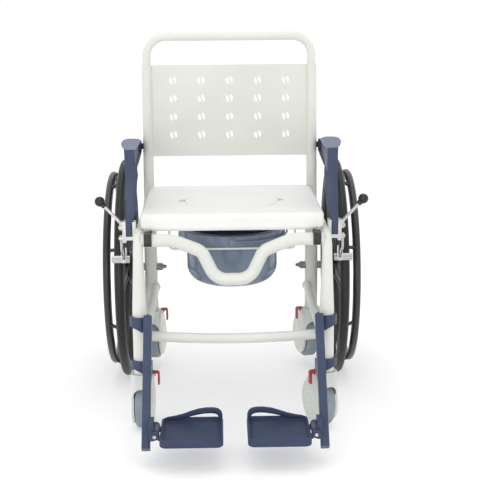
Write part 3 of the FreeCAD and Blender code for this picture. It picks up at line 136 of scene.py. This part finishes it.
def build_studio():
    world = bpy.data.worlds.new("white_room")
    bpy.context.scene.world = world
    world.use_nodes = True
    sky = world.node_tree.nodes["Background"].inputs
    sky["Color"].default_value = linear(WHITE)
    sky["Strength"].default_value = ROOM_STRENGTH
    softbox("top_softbox", place=(0, -0.2, 3.2), target=(0, 0, 0.4), size=(2.4, 2.4), watts=16)
    softbox("front_softbox", place=(-0.9, -3.6, 1.0), target=(0, 0, 0.5), size=(2.4, 1.6),
            watts=18)
    bpy.ops.object.select_all(action="DESELECT")
    bpy.ops.mesh.primitive_plane_add(size=FLOOR_SIZE, location=(0, 0, 0))
    floor = bpy.context.object
    floor.name = "studio_floor"
    paper = new_material("white_paper_sweep")
    place = add(paper, "ShaderNodeTexCoord", {})
    grain = add(paper, "ShaderNodeTexNoise", {"Vector": place.outputs["Object"],
                                              "Scale": lump_scale(PAPER_LUMP), "Detail": 2.0})
    tone = add(paper, "ShaderNodeMix", {"Factor": grain.outputs["Fac"]}, data_type="RGBA")
    tone.inputs["A"].default_value = linear(PAPER_TONES[0])
    tone.inputs["B"].default_value = linear(PAPER_TONES[1])
    shader = add(paper, "ShaderNodeBsdfPrincipled",
                 {"Base Color": tone.outputs["Result"], "Roughness": PAPER_ROUGHNESS,
                  "Emission Color": linear(WHITE), "Emission Strength": FLOOR_GLOW})
    add(paper, "ShaderNodeOutputMaterial", {"Surface": shader.outputs["BSDF"]})
    floor.data.materials.append(paper)
    bpy.context.scene.view_settings.view_transform = "Standard"


build_studio()

# Finishes. Every pattern reads Object coordinates in metres. Noise keeps to the middle of its
# range, so these spans are stretched to the full drift of tone and of gloss.
DRIFT_SPAN = (0.32, 0.68)
GRAIN_SPAN = (0.3, 0.7)


def skin(name, dark, light, rough, grain_mm, grain_depth_mm, tone_mm, stretch=(1, 1, 1), **more):
    """A solid finish: a slow drift of tone, uneven gloss, and a grain that breaks reflections."""
    material = new_material(name)
    place = add(material, "ShaderNodeTexCoord", {})
    lay = add(material, "ShaderNodeMapping",
              {"Vector": place.outputs["Object"], "Scale": stretch})
    drift = add(material, "ShaderNodeTexNoise",
                {"Vector": place.outputs["Object"], "Scale": lump_scale(tone_mm),
                 "Detail": 4.0, "Roughness": 0.6})
    fine = add(material, "ShaderNodeTexNoise",
               {"Vector": lay.outputs["Vector"], "Scale": lump_scale(grain_mm), "Detail": 2.0})
    share = add(material, "ShaderNodeMapRange",
                {"Value": drift.outputs["Fac"], "From Min": DRIFT_SPAN[0],
                 "From Max": DRIFT_SPAN[1]})
    tone = add(material, "ShaderNodeMix", {"Factor": share.outputs["Result"]}, data_type="RGBA")
    tone.inputs["A"].default_value = linear(dark)
    tone.inputs["B"].default_value = linear(light)
    gloss = add(material, "ShaderNodeMapRange",
                {"Value": fine.outputs["Fac"], "From Min": GRAIN_SPAN[0],
                 "From Max": GRAIN_SPAN[1], "To Min": rough[0], "To Max": rough[1]})
    grain = add(material, "ShaderNodeBump",
                {"Height": fine.outputs["Fac"], "Strength": 1.0, "Distance": grain_depth_mm * MM})
    sockets = {"Base Color": tone.outputs["Result"], "Roughness": gloss.outputs["Result"],
               "Normal": grain.outputs["Normal"]}
    sockets.update({key.replace("_", " "): value for key, value in more.items()})
    shader = add(material, "ShaderNodeBsdfPrincipled", sockets)
    add(material, "ShaderNodeOutputMaterial", {"Surface": shader.outputs["BSDF"]})
    return material


FINISH = {
    # Polyester powder coat on steel tube: satin, with orange peel about 2.5 mm across
    "frame_coat": skin("ivory_powder_coat", "D8D8D2", "DFDFDA", rough=(0.34, 0.44),
                       grain_mm=2.5, grain_depth_mm=0.03, tone_mm=90),
    # Blow-moulded polyethylene: matt, its sand-blasted grain drawn 1.2 mm so that it shows
    "panel_plastic": skin("ivory_blow_moulded_polyethylene", "D6D7CF", "DDDED7",
                          rough=(0.48, 0.58), grain_mm=1.2, grain_depth_mm=0.04, tone_mm=120),
    # Self-skinned polyurethane foam: smooth, soft to the eye and slightly waxy
    "seat_plastic": skin("white_polyurethane_skin", "E6E6E4", "ECECEA", rough=(0.36, 0.46),
                         grain_mm=1.6, grain_depth_mm=0.03, tone_mm=110,
                         Subsurface_Weight=0.08, Subsurface_Radius=(0.004, 0.004, 0.004)),
    # Injection-moulded polypropylene pan: glossy, with the slow waves of a shrunk wall
    "pan_plastic": skin("slate_polypropylene", "657486", "738193", rough=(0.12, 0.22),
                        grain_mm=14, grain_depth_mm=0.25, tone_mm=60),
    # Glass-filled nylon out of a spark-eroded mould: satin, its grain drawn 1.2 mm so that it shows
    "blue_plastic": skin("navy_glass_filled_nylon", "2E3B58", "36435F", rough=(0.36, 0.5),
                         grain_mm=1.2, grain_depth_mm=0.05, tone_mm=45),
    # Pigmented nylon: satin black with soft highlights, its grain drawn as coarse as the blue one
    "black_plastic": skin("black_moulded_nylon", "1F1F20", "29292A", rough=(0.34, 0.46),
                          grain_mm=1.2, grain_depth_mm=0.04, tone_mm=30),
    # Chromium plate: a mirror with faint wipe marks along the bar
    "plated_steel": skin("chromium_plate", "B8B8B7", "C6C6C5", rough=(0.06, 0.15),
                         grain_mm=4, grain_depth_mm=0.01, tone_mm=20,
                         stretch=(1, 1, 0.15), Metallic=1.0),
    # Bright zinc: pale, slightly milky, with drawn streaks
    "zinc_steel": skin("bright_zinc_plate", "BFC0BC", "CFD0CC", rough=(0.24, 0.38),
                       grain_mm=3, grain_depth_mm=0.02, tone_mm=12,
                       stretch=(1, 0.3, 1), Metallic=1.0),
    # Solid polyurethane tyre: charcoal, with a dull shine on the ribs
    "tyre_rubber": skin("charcoal_polyurethane_tyre", "171718", "202021", rough=(0.36, 0.52),
                        grain_mm=1.5, grain_depth_mm=0.05, tone_mm=40),
    # Black anodised aluminium extrusion: dark satin metal
    "rim_alloy": skin("black_anodised_aluminium", "232324", "2D2D2E", rough=(0.3, 0.42),
                      grain_mm=1.0, grain_depth_mm=0.01, tone_mm=25, Metallic=0.6),
    # Glass-filled nylon wheel spider: black, with the dull swirl of a large moulding
    "spoke_plastic": skin("black_glass_filled_nylon", "1E1E1F", "2A2A2B", rough=(0.36, 0.5),
                          grain_mm=1.4, grain_depth_mm=0.04, tone_mm=35),
    # Black powder coat on the push rim: satin, polished in places by hands
    "push_rim_coat": skin("black_powder_coat", "2A2A2B", "353536", rough=(0.26, 0.42),
                          grain_mm=2, grain_depth_mm=0.03, tone_mm=60),
    # Moulded ABS hood: clean, semi-gloss
    "caster_plastic": skin("ivory_abs_hood", "CDCFCA", "D5D7D2", rough=(0.24, 0.34),
                           grain_mm=1.4, grain_depth_mm=0.03, tone_mm=40),
    # Thermoplastic rubber tread: matt grey-blue with scuffs
    "caster_rubber": skin("grey_thermoplastic_rubber", "7C8890", "8B979E", rough=(0.46, 0.62),
                          grain_mm=1.2, grain_depth_mm=0.05, tone_mm=22),
    # Pigmented nylon brake pedal: deep red and satin
    "pedal_plastic": skin("red_moulded_nylon", "8E1B2C", "A92635", rough=(0.32, 0.44),
                          grain_mm=1.2, grain_depth_mm=0.04, tone_mm=25),
}

# Passivated zinc on the axle fittings: mid grey and slightly oily
GREY_ZINC = skin("grey_zinc_plate", "868888", "949696", rough=(0.28, 0.42),
                 grain_mm=2, grain_depth_mm=0.02, tone_mm=10, Metallic=1.0)
GREY_NODES = ["axle_pins", "axle_receivers", "hub_right", "hub_left"]

# The pad's finish: the arm's navy nylon painted paler, as painted light where its top faces the
# overhead softbox, with a low sheen
PAD_PAINTED_LIGHTER = skin("slate_nylon_painted_lighter", "74788D", "7F8397", rough=(0.3, 0.42),
                     grain_mm=1.6, grain_depth_mm=0.05, tone_mm=40)

# Coarsely grained nylon under the feet: duller and darker than the hangers
PLATE_NYLON = skin("navy_coarse_nylon", "2C3853", "34405B", rough=(0.48, 0.62),
                   grain_mm=1.6, grain_depth_mm=0.08, tone_mm=45, Specular_IOR_Level=0.35)

# Polished phenolic resin: deep black with small sharp highlights
KNOB_RESIN = skin("black_phenolic_resin", "1A1A1B", "222223", rough=(0.1, 0.18),
                  grain_mm=6, grain_depth_mm=0.02, tone_mm=20)

for subpart in frame["record"]["subparts"]:
    node = frame["nodes"][subpart["node"]]
    grey = subpart["node"] in GREY_NODES
    node.data.materials.clear()
    node.data.materials.append(GREY_ZINC if grey else FINISH[subpart["material_slot"]])

# Modelling from given points. Right-hand pieces are modelled, and a mirrored copy makes the left
# one.
HERE = Matrix.Identity(4)
MIRROR = Matrix.Scale(-1, 4, ACROSS)
SIDES = {"right": HERE, "left": MIRROR}
# Takes a model drawn about the floor point under the drive axle to the frame's origin
TO_ORIGIN = Matrix.Translation(-at(0, 0, 0))
# Corners this close are one, faces this close to a plane lie in it, and flatter edges look smooth
SAME_CORNER = 0.02
IN_PLANE = 0.1
SMOOTH_ANGLE = 35


def trace(name, points, closed=True):
    """Draws a line from point to point by extruding one corner, and stays in edit mode."""
    bpy.ops.object.select_all(action="DESELECT")
    bpy.ops.mesh.primitive_plane_add(size=MM, location=(0, 0, 0))
    line = bpy.context.object
    line.name = line.data.name = name
    bpy.ops.object.mode_set(mode="EDIT")
    bpy.ops.mesh.select_mode(type="VERT")
    bpy.ops.mesh.select_all(action="SELECT")
    bpy.ops.mesh.merge(type="CENTER")
    bpy.ops.transform.translate(value=points[0])
    ends = points[1:] + points[:1] if closed else points[1:]
    for start, end in zip(points, ends):
        bpy.ops.mesh.extrude_vertices_move(TRANSFORM_OT_translate={"value": end - start})
    if closed:
        clean_up()
    return line


def clean_up():
    """Merges corners that lie on each other and turns every face outwards."""
    bpy.ops.mesh.select_all(action="SELECT")
    bpy.ops.mesh.remove_doubles(threshold=SAME_CORNER * MM)
    bpy.ops.mesh.normals_make_consistent(inside=False)


def out_of_edit():
    bpy.ops.object.mode_set(mode="OBJECT")


def pick(piece, kind, test):
    """Selects the corners or faces whose middle, in the source's millimetres, passes the test."""
    bpy.ops.mesh.select_mode(type=kind)
    bpy.ops.mesh.select_all(action="DESELECT")
    mesh = bmesh.from_edit_mesh(piece.data)
    for part in mesh.verts if kind == "VERT" else mesh.faces:
        corners = [part.co] if kind == "VERT" else [corner.co for corner in part.verts]
        middle = sum(corners, Vector()) / len(corners) / MM
        part.select_set(test(middle.x, middle.y - AXLE_Y, middle.z))
    mesh.select_flush_mode()
    bmesh.update_edit_mesh(piece.data)


def shift(x, y, z):
    """Moves what is selected."""
    bpy.ops.transform.translate(value=(x * MM, y * MM, z * MM))


def pull(x, y, z):
    """Extrudes the selected faces."""
    bpy.ops.mesh.extrude_region_move(TRANSFORM_OT_translate={"value": (x * MM, y * MM, z * MM)})


def inset(width, rise=0):
    bpy.ops.mesh.inset(thickness=width * MM, depth=rise * MM)


def slab(name, points, depth):
    """Fills a traced outline and extrudes it into a closed block."""
    piece = trace(name, points)
    bpy.ops.mesh.select_all(action="SELECT")
    bpy.ops.mesh.edge_face_add()
    pull(*depth)
    clean_up()
    return piece


def turned(name, points, centre, axis, steps):
    """Spins a traced section once round an axis, and leaves edit mode."""
    piece = trace(name, points, closed=False)
    bpy.ops.mesh.select_all(action="SELECT")
    bpy.ops.mesh.spin(steps=steps, angle=2 * math.pi, center=centre, axis=axis)
    clean_up()
    out_of_edit()
    return piece


def soften(width, segments, sharp=30):
    """Rounds every edge that turns by more than the given angle, and leaves edit mode."""
    bpy.ops.mesh.select_mode(type="EDGE")
    bpy.ops.mesh.select_all(action="DESELECT")
    bpy.ops.mesh.edges_select_sharp(sharpness=math.radians(sharp))
    bpy.ops.mesh.bevel(offset=width * MM, segments=segments, affect="EDGES", clamp_overlap=True)
    clean_up()
    out_of_edit()


def only(piece):
    """Makes this the one selected object."""
    bpy.ops.object.select_all(action="DESELECT")
    bpy.context.view_layer.objects.active = piece
    piece.select_set(True)


def merged(name, *pieces):
    """Joins finished forms into one object."""
    only(pieces[0])
    for piece in pieces:
        piece.select_set(True)
    bpy.ops.object.join()
    pieces[0].name = pieces[0].data.name = name
    return pieces[0]


def copied(piece, name, place):
    """A copy with its own mesh, set by a matrix that is then applied."""
    only(piece)
    bpy.ops.object.duplicate()
    copy = bpy.context.object
    copy.name = copy.data.name = name
    copy.matrix_world = place @ copy.matrix_world
    bpy.ops.object.transform_apply(location=True, rotation=True, scale=True)
    if place.determinant() < 0:
        bpy.ops.object.mode_set(mode="EDIT")
        clean_up()
        out_of_edit()
    return copy


def set_up(piece, body, slot, finish=None, replaced=()):
    """Smooths and finishes a piece, and sets it on the body that it moves with."""
    only(piece)
    bpy.ops.object.shade_smooth_by_angle(angle=math.radians(SMOOTH_ANGLE))
    piece.data.materials.clear()
    piece.data.materials.append(finish or FINISH[slot])
    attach(piece, body)
    if replaced:
        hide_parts(*replaced)


# Tyres: ribbed crown, rounded shoulders, a bead line on each wall. X is from the wheel's plane,
# and the second number is the radius.
HALF_TYRE = [(1.6, 295.4), (2.0, 294.3), (3.2, 294.2), (3.6, 295.0), (5.6, 294.2), (6.0, 293.0),
             (7.0, 292.5), (7.5, 292.9), (9.6, 291.0), (11.4, 288.1), (12.3, 285.2),
             (12.5, 282.6), (12.2, 280.7), (11.5, 280.0), (11.5, 279.3), (11.9, 278.7),
             (11.4, 277.0), (10.4, 275.6), (9.2, 274.6)]
TYRE_STEPS = 144
AXLE = at(WHEEL_X, 0, AXLE_Z)


def model_tyres():
    section = [(-x, r) for x, r in reversed(HALF_TYRE)] + HALF_TYRE
    points = [at(WHEEL_X + x, 0, AXLE_Z + r) for x, r in section + section[:1]]
    first = turned("tyre_model", points, AXLE, ACROSS, TYRE_STEPS)
    for side, place in SIDES.items():
        tyre = copied(first, "tread_tyre_" + side, place)
        set_up(tyre, "drive_wheel_" + side, "tyre_rubber", replaced=["tyre_" + side])
    bpy.data.objects.remove(first)


model_tyres()

# Wheel spiders: eight broad moulded arms with a sunk panel on each face, round a turned boss.
# The arm's outline is Y and radius, and the boss's half section is X and radius.
SPIDER_ARM_COUNT = 8
SPIDER_OUTLINE = [(-19, 30), (-14.5, 110), (-13.5, 200), (-19, 246), (-26, 257),
                  (26, 257), (19, 246), (13.5, 200), (14.5, 110), (19, 30)]
SPIDER_HALF_DEPTH = 7
SPIDER_BORDER = 4.5
SPIDER_SUNK_SHARE = 0.6
HALF_BOSS = [(16.0, 17.2), (16.0, 36), (14.2, 39.5), (8, 42), (7, 46)]
BOSS_STEPS = 64


def model_spiders():
    back, front = WHEEL_X - SPIDER_HALF_DEPTH, WHEEL_X + SPIDER_HALF_DEPTH
    arm = slab("spider_arm", [at(back, y, AXLE_Z + r) for y, r in SPIDER_OUTLINE],
               (2 * SPIDER_HALF_DEPTH, 0, 0))
    for face in (back, front):
        pick(arm, "FACE", lambda x, y, z: abs(x - face) < IN_PLANE)
        inset(SPIDER_BORDER)
        pull((WHEEL_X - face) * SPIDER_SUNK_SHARE, 0, 0)
    soften(width=1.2, segments=2)
    forms = [arm]
    about = Matrix.Translation(AXLE)
    for index in range(1, SPIDER_ARM_COUNT):
        turn = Matrix.Rotation(index * 2 * math.pi / SPIDER_ARM_COUNT, 4, "X")
        forms.append(copied(arm, "spider_arm", about @ turn @ about.inverted()))
    section = HALF_BOSS + [(-x, r) for x, r in reversed(HALF_BOSS)] + HALF_BOSS[:1]
    points = [at(WHEEL_X + x, 0, AXLE_Z + r) for x, r in section]
    forms.append(turned("spider_boss", points, AXLE, ACROSS, BOSS_STEPS))
    first = merged("spider_model", *forms)
    for side, place in SIDES.items():
        spider = copied(first, "moulded_spider_" + side, place)
        set_up(spider, "drive_wheel_" + side, "spoke_plastic", replaced=["spokes_" + side])
    bpy.data.objects.remove(first)


model_spiders()

# Armrests: a moulded beam with a sunk inner side and a tongue at its front end, a turned knuckle
# on the pivot, and a domed pad on top. The beam's outline is Y and Z, seen from the side, the
# knuckle's section is X and radius, and the pad's is X and Z.
BEAM = [(5.8, 643.5), (-150, 663), (-370, 684), (-382, 676), (-376, 654), (-366, 615),
        (-363, 603), (-368, 570), (-377, 520), (-377, 488), (-377, 458.4), (-353, 458.4),
        (-353, 488), (-353, 530), (-349, 553), (-340, 570), (-322, 583), (-290, 592),
        (-220, 600), (-150, 604), (5.8, 611.5)]
BEAM_INNER_X, BEAM_WIDTH = 228, 25.5
# Steps outwards: the middle and the rear end lean out to the pivot, the tongue is thinner
BEAM_STEPS = [(9.5, lambda x, y, z: y > -20), (7, lambda x, y, z: -230 < y < -100),
              (11.5, lambda x, y, z: z < 500 and x < 235),
              (1, lambda x, y, z: z < 500 and x > 250)]
# The inner side and its bent faces lie inside this, and it is sunk within a border
BEAM_SIDE_X = 237
BEAM_BORDER, BEAM_SUNK = 4.5, 7
ARM_PIVOT_Y, ARM_PIVOT_Z = 5.83, 627.5
ARM_KNUCKLE = [(239.6, 0), (239.6, 13.5), (241.6, 16), (259.4, 16), (261.4, 13.5), (261.4, 0)]
ARM_KNUCKLE_STEPS = 48
PAD_SECTION = [(226, 668.5), (221.6, 674), (217.2, 681), (213.6, 687), (213.2, 690.5),
               (215.4, 693.2), (219.5, 694.4), (228, 695), (238, 695), (247, 694.2),
               (253.4, 691.8), (257.4, 687.4), (259, 681.8), (257.6, 676), (254.4, 671.6),
               (250, 669.2), (245, 668.5)]
PAD_FRONT_Y, PAD_LENGTH = -382, 187
# The pad's front end is crowned by insets, each a width and a rise
PAD_CROWN = [(1.2, 1.6), (1.8, 1.0), (2.6, 0.5)]
# The corners of its rear end drop along the beam, and the inner ones step outwards
PAD_REAR_Y, PAD_INNER_X = -215, 235
PAD_REAR_DROP, PAD_REAR_TAPER = -24, 14


def model_beam():
    beam = slab("arm_beam", [at(BEAM_INNER_X, y, z) for y, z in BEAM], (BEAM_WIDTH, 0, 0))
    for step, chosen in BEAM_STEPS:
        pick(beam, "VERT", chosen)
        shift(step, 0, 0)
    pick(beam, "FACE", lambda x, y, z: x < BEAM_SIDE_X)
    inset(BEAM_BORDER)
    pull(BEAM_SUNK, 0, 0)
    soften(width=1.4, segments=2, sharp=50)
    return beam


def model_pad():
    pad = slab("pad_model", [at(x, PAD_FRONT_Y, z) for x, z in PAD_SECTION], (0, PAD_LENGTH, 0))
    for width, rise in PAD_CROWN:
        pick(pad, "FACE", lambda x, y, z: y < PAD_FRONT_Y + IN_PLANE)
        inset(width, rise)
    pick(pad, "VERT", lambda x, y, z: y > PAD_REAR_Y)
    shift(0, 0, PAD_REAR_DROP)
    pick(pad, "VERT", lambda x, y, z: y > PAD_REAR_Y and x < PAD_INNER_X)
    shift(PAD_REAR_TAPER, 0, 0)
    out_of_edit()
    return pad


def model_armrests():
    beam = model_beam()
    points = [at(x, ARM_PIVOT_Y, ARM_PIVOT_Z + r) for x, r in ARM_KNUCKLE]
    knuckle = turned("arm_knuckle", points, at(0, ARM_PIVOT_Y, ARM_PIVOT_Z), ACROSS,
                     ARM_KNUCKLE_STEPS)
    arm = merged("armrest_model", beam, knuckle)
    pad = model_pad()
    for side, place in SIDES.items():
        set_up(copied(arm, "moulded_armrest_" + side, place), "armrest_" + side, "blue_plastic",
               replaced=["armrest_" + side])
        # The pads take the paler copy of the navy nylon: painted light on their tops
        set_up(copied(pad, "armrest_pad_" + side, place), "armrest_" + side, "blue_plastic",
               PAD_PAINTED_LIGHTER)
    bpy.data.objects.remove(arm)
    bpy.data.objects.remove(pad)


model_armrests()

# Casters: a grooved cap with its axle bolt on each cheek, and a bent brake pedal with a ribbed
# end. Each is drawn about its joint's own centre, and the joints' places and axes set the copies.
CORNERS = ["front_right", "front_left", "rear_right", "rear_left"]
JOINTS = {joint["name"]: joint for joint in frame["record"]["behaviour"]["joints"]}
CAP = [(24.3, 41), (25.1, 40.4), (25.3, 37.2), (24.6, 36.6), (24.6, 35.2), (25.3, 34.6),
       (25.5, 22), (24.9, 14), (25.1, 9.5), (26.2, 8.6), (26.6, 6), (26.6, 0)]
CAP_STEPS = 56
PEDAL = [(-3.4, 3.4), (-3.4, 8.6), (9.5, 8.6), (12.4, 7.4), (14, 4.4), (14, -24), (10.2, -24),
         (10.2, 2.6), (8.6, 4.4), (4.8, 4.4), (4.2, -1.5), (1.5, -4.3), (-1.5, -4.3),
         (-4.2, -1.5)]
PEDAL_WIDTH = 15
PEDAL_RIB = [(13.8, -1), (14.7, -0.5), (14.7, 0.5), (13.8, 1)]
RIB_WIDTH = 12
RIB_HEIGHTS = [-8, -13, -18]


def model_caster_caps():
    first = turned("cap_model", [at(x, 0, r) for x, r in CAP], at(0, 0, 0), ACROSS, CAP_STEPS)
    for corner in CORNERS:
        roll = JOINTS["caster_%s_roll" % corner]
        turn = Matrix.Rotation(math.atan2(roll["axis"][1], roll["axis"][0]), 4, "Z")
        place = Matrix.Translation(roll["pos_m"]) @ turn
        caps = [copied(first, "cap_outer", place @ TO_ORIGIN),
                copied(first, "cap_inner", place @ MIRROR @ TO_ORIGIN)]
        set_up(merged("caster_%s_caps" % corner, *caps), "caster_" + corner, "caster_plastic")
    bpy.data.objects.remove(first)


def model_pedals():
    block = slab("pedal_model", [at(x, -PEDAL_WIDTH / 2, z) for x, z in PEDAL],
                 (0, PEDAL_WIDTH, 0))
    soften(width=0.9, segments=2)
    forms = [block]
    for height in RIB_HEIGHTS:
        points = [at(x, -RIB_WIDTH / 2, height + z) for x, z in PEDAL_RIB]
        forms.append(slab("pedal_rib", points, (0, RIB_WIDTH, 0)))
        soften(width=0.3, segments=2)
    first = merged("pedal_model", *forms)
    for corner in CORNERS:
        press = JOINTS["caster_%s_pedal_press" % corner]
        along = Vector(press["axis"])
        outward = along.cross(Vector(UP))
        turn = Matrix((outward, -along, UP)).transposed().to_4x4()
        place = Matrix.Translation(press["pos_m"]) @ turn @ TO_ORIGIN
        set_up(copied(first, "bent_pedal_" + corner, place), "caster_%s_brake" % corner,
               "pedal_plastic", replaced=["caster_%s_pedal" % corner])
    bpy.data.objects.remove(first)


model_caster_caps()
model_pedals()

# Weld beads where rails and cross tubes meet the legs: a rippled ring under the coat. Each spot
# has the axis that the flat ring is turned about.
BEAD_RADIUS, BEAD_HALF_WIDTH = 11.4, 2.1
BEAD_STEPS, BEAD_SIDES = 56, 8
BEAD_RIPPLE = 0.45
BEADS = [((208, -459.5, 240.5), "X"), ((208, -13.2, 240.5), "X"),
         ((-208, -459.5, 240.5), "X"), ((-208, -13.2, 240.5), "X"),
         ((207.6, -46, 469.5), "Y"), ((-207.6, -46, 469.5), "Y")]


def on_even_step(x, y, z):
    return round(math.atan2(y, x) / (2 * math.pi / BEAD_STEPS)) % 2 == 0


def model_welds():
    bpy.ops.object.select_all(action="DESELECT")
    bpy.ops.mesh.primitive_torus_add(
        major_segments=BEAD_STEPS, minor_segments=BEAD_SIDES, major_radius=BEAD_RADIUS * MM,
        minor_radius=BEAD_HALF_WIDTH * MM, location=at(0, 0, 0))
    first = bpy.context.object
    bpy.ops.object.transform_apply(location=True)
    bpy.ops.object.mode_set(mode="EDIT")
    pick(first, "VERT", on_even_step)
    bpy.ops.transform.shrink_fatten(value=-BEAD_RIPPLE * MM)
    out_of_edit()
    beads = []
    for spot, axis in BEADS:
        turn = Matrix.Rotation(math.pi / 2, 4, axis)
        beads.append(copied(first, "bead", Matrix.Translation(at(*spot)) @ turn @ TO_ORIGIN))
    set_up(merged("weld_beads", *beads), "frame", "frame_coat")
    bpy.data.objects.remove(first)


model_welds()

# Footplates: a tray with a rounded rim and a raised tread, a heel band behind it and two hinge
# knuckles. The band's outline is from the tray's outer rear corner, X inwards and Z up.
TRAY_X, TRAY_Y, TRAY_Z = (27, 167), (-726, -578), (58, 76)
TRAY_CORNER = 16
CORNER_STEPS = 6
TRAY_RIM, TRAY_SUNK = 5.5, 8
TRAY_FLOOR = TRAY_Z[1] - TRAY_SUNK
TRAY_MIDDLE = sum(TRAY_X) / 2
# The tread is a ridge round a lower field, each step an inset and a rise
TREAD = [(2.6, 1.6), (2.2, -0.9)]
TREAD_EDGE = 1.2
BAND = [(3, 4), (12, 9), (30, 12), (48, 16.5), (66, 23), (84, 28.5), (102, 31), (118, 31),
        (129, 28.5), (135.5, 23), (138.6, 15), (139, 4), (129.5, 4), (129.3, 10), (126.5, 14),
        (120, 16.8), (110, 17.6), (98, 17), (84, 14.8), (70, 11.6), (56, 8), (44, 4)]
BAND_THICKNESS = 8
HINGE_X, HINGE_Z = 178, 77
HINGE_BORE, HINGE_RADIUS, HINGE_EDGE = 4.2, 9, 0.8
HINGE_STEPS = 40
# Where each knuckle starts and ends along Y, and the section of the web that joins it to the tray
KNUCKLES = [(-703.4, -686.4), (-649.6, -632.6)]
WEB = [(162, 66), (171, 67.5), (171.5, 71), (170, 76), (162, 74)]
WEB_STEP = 0.5


def model_tray():
    low_x, high_x = TRAY_X[0] + TRAY_CORNER, TRAY_X[1] - TRAY_CORNER
    low_y, high_y = TRAY_Y[0] + TRAY_CORNER, TRAY_Y[1] - TRAY_CORNER
    outline = []
    corners = [(high_x, high_y), (low_x, high_y), (low_x, low_y), (high_x, low_y)]
    for quarter, (x, y) in enumerate(corners):
        for step in range(CORNER_STEPS + 1):
            turn = math.radians(90 * quarter + 90 / CORNER_STEPS * step)
            outline.append(at(x + TRAY_CORNER * math.cos(turn), y + TRAY_CORNER * math.sin(turn),
                              TRAY_Z[0]))
    tray = slab("tray", outline, (0, 0, TRAY_Z[1] - TRAY_Z[0]))
    pick(tray, "FACE", lambda x, y, z: z > TRAY_Z[1] - IN_PLANE)
    inset(TRAY_RIM)
    pull(0, 0, -TRAY_SUNK)
    soften(width=2.4, segments=4, sharp=40)
    bpy.ops.object.mode_set(mode="EDIT")
    pick(tray, "FACE",
         lambda x, y, z: abs(z - TRAY_FLOOR) < IN_PLANE and abs(x - TRAY_MIDDLE) < 1)
    for width, rise in TREAD:
        inset(width)
        pull(0, 0, rise)
    inset(TREAD_EDGE)
    out_of_edit()
    return tray


def model_hinge_knuckle(start, end):
    ring = [(HINGE_BORE, start), (HINGE_RADIUS - HINGE_EDGE, start),
            (HINGE_RADIUS, start + HINGE_EDGE), (HINGE_RADIUS, end - HINGE_EDGE),
            (HINGE_RADIUS - HINGE_EDGE, end), (HINGE_BORE, end), (HINGE_BORE, start)]
    knuckle = turned("knuckle", [at(HINGE_X, y, HINGE_Z + r) for r, y in ring],
                     at(HINGE_X, 0, HINGE_Z), ALONG, HINGE_STEPS)
    web = slab("knuckle_web", [at(x, start + WEB_STEP, z) for x, z in WEB],
               (0, end - start - 2 * WEB_STEP, 0))
    soften(width=0.6, segments=2)
    return [knuckle, web]


def model_footplates():
    points = [at(TRAY_X[1] - x, TRAY_Y[1], TRAY_FLOOR + z) for x, z in BAND]
    band = slab("heel_band", points, (0, -BAND_THICKNESS, 0))
    soften(width=2.4, segments=3, sharp=50)
    forms = [model_tray(), band]
    for start, end in KNUCKLES:
        forms += model_hinge_knuckle(start, end)
    first = merged("footplate_model", *forms)
    for side, place in SIDES.items():
        set_up(copied(first, "moulded_footplate_" + side, place), "footplate_" + side,
               "blue_plastic", PLATE_NYLON, ["footplate_" + side])
    bpy.data.objects.remove(first)


model_footplates()


# Back panel: the same moulding mirrored, so that the bars between its slots lean the other way
def model_back_panel():
    panel = bpy.data.objects.new("slotted_back_panel", frame["nodes"]["back_panel"].data.copy())
    bpy.context.scene.collection.objects.link(panel)
    only(panel)
    bpy.ops.mesh.customdata_custom_splitnormals_clear()
    bpy.ops.object.mode_set(mode="EDIT")
    clean_up()
    bpy.ops.transform.mirror(constraint_axis=(True, False, False), center_override=(0, 0, 0))
    clean_up()
    out_of_edit()
    set_up(panel, "frame", "panel_plastic", replaced=["back_panel"])


model_back_panel()

# Wheel locks: a turned ball knob with a collar on each lever, and a forked strap that clamps the
# toothed bar. The collar's section runs on from the ball's: how far toward the lever, and radius.
LEVER_ROOT = (267, -365, 489)
KNOB_CENTRE = (317, -357, 541)
BALL_RADIUS = 12.4
BALL_ANGLES = range(180, 30, -10)
COLLAR = [(10.6, 6.9), (17.4, 6.5), (18.2, 5.8), (18.2, 4.2), (9, 4.2)]
KNOB_STEPS = 40
STRAP = [(260, 379.5), (261.5, 378), (272.5, 378), (274, 379.5), (274, 415), (273, 417.5),
         (271.6, 417.5), (270.6, 415), (270.6, 385.5), (269.6, 384), (264.4, 384),
         (263.4, 385.5), (263.4, 415), (262.4, 417.5), (261, 417.5), (260, 415)]
STRAP_Y, STRAP_THICKNESS = -311.6, 2.6


def model_lock_trim():
    angles = [math.radians(angle) for angle in BALL_ANGLES]
    section = [(BALL_RADIUS * math.cos(a), BALL_RADIUS * math.sin(a)) for a in angles] + COLLAR
    knob = turned("knob_model", [at(r, 0, d) for d, r in section], at(0, 0, 0), UP, KNOB_STEPS)
    toward_lever = (at(*LEVER_ROOT) - at(*KNOB_CENTRE)).to_track_quat("Z", "Y")
    on_lever = Matrix.Translation(at(*KNOB_CENTRE)) @ toward_lever.to_matrix().to_4x4() @ TO_ORIGIN
    strap = slab("strap_model", [at(x, STRAP_Y, z) for x, z in STRAP], (0, STRAP_THICKNESS, 0))
    soften(width=0.4, segments=2)
    for side, place in SIDES.items():
        set_up(copied(knob, "ball_knob_" + side, place @ on_lever), "lock_lever_" + side,
               "black_plastic", KNOB_RESIN, ["lock_knob_" + side])
        set_up(copied(strap, "shoe_strap_" + side, place), "lock_shoe_" + side, "zinc_steel")
    bpy.data.objects.remove(knob)
    bpy.data.objects.remove(strap)


model_lock_trim()
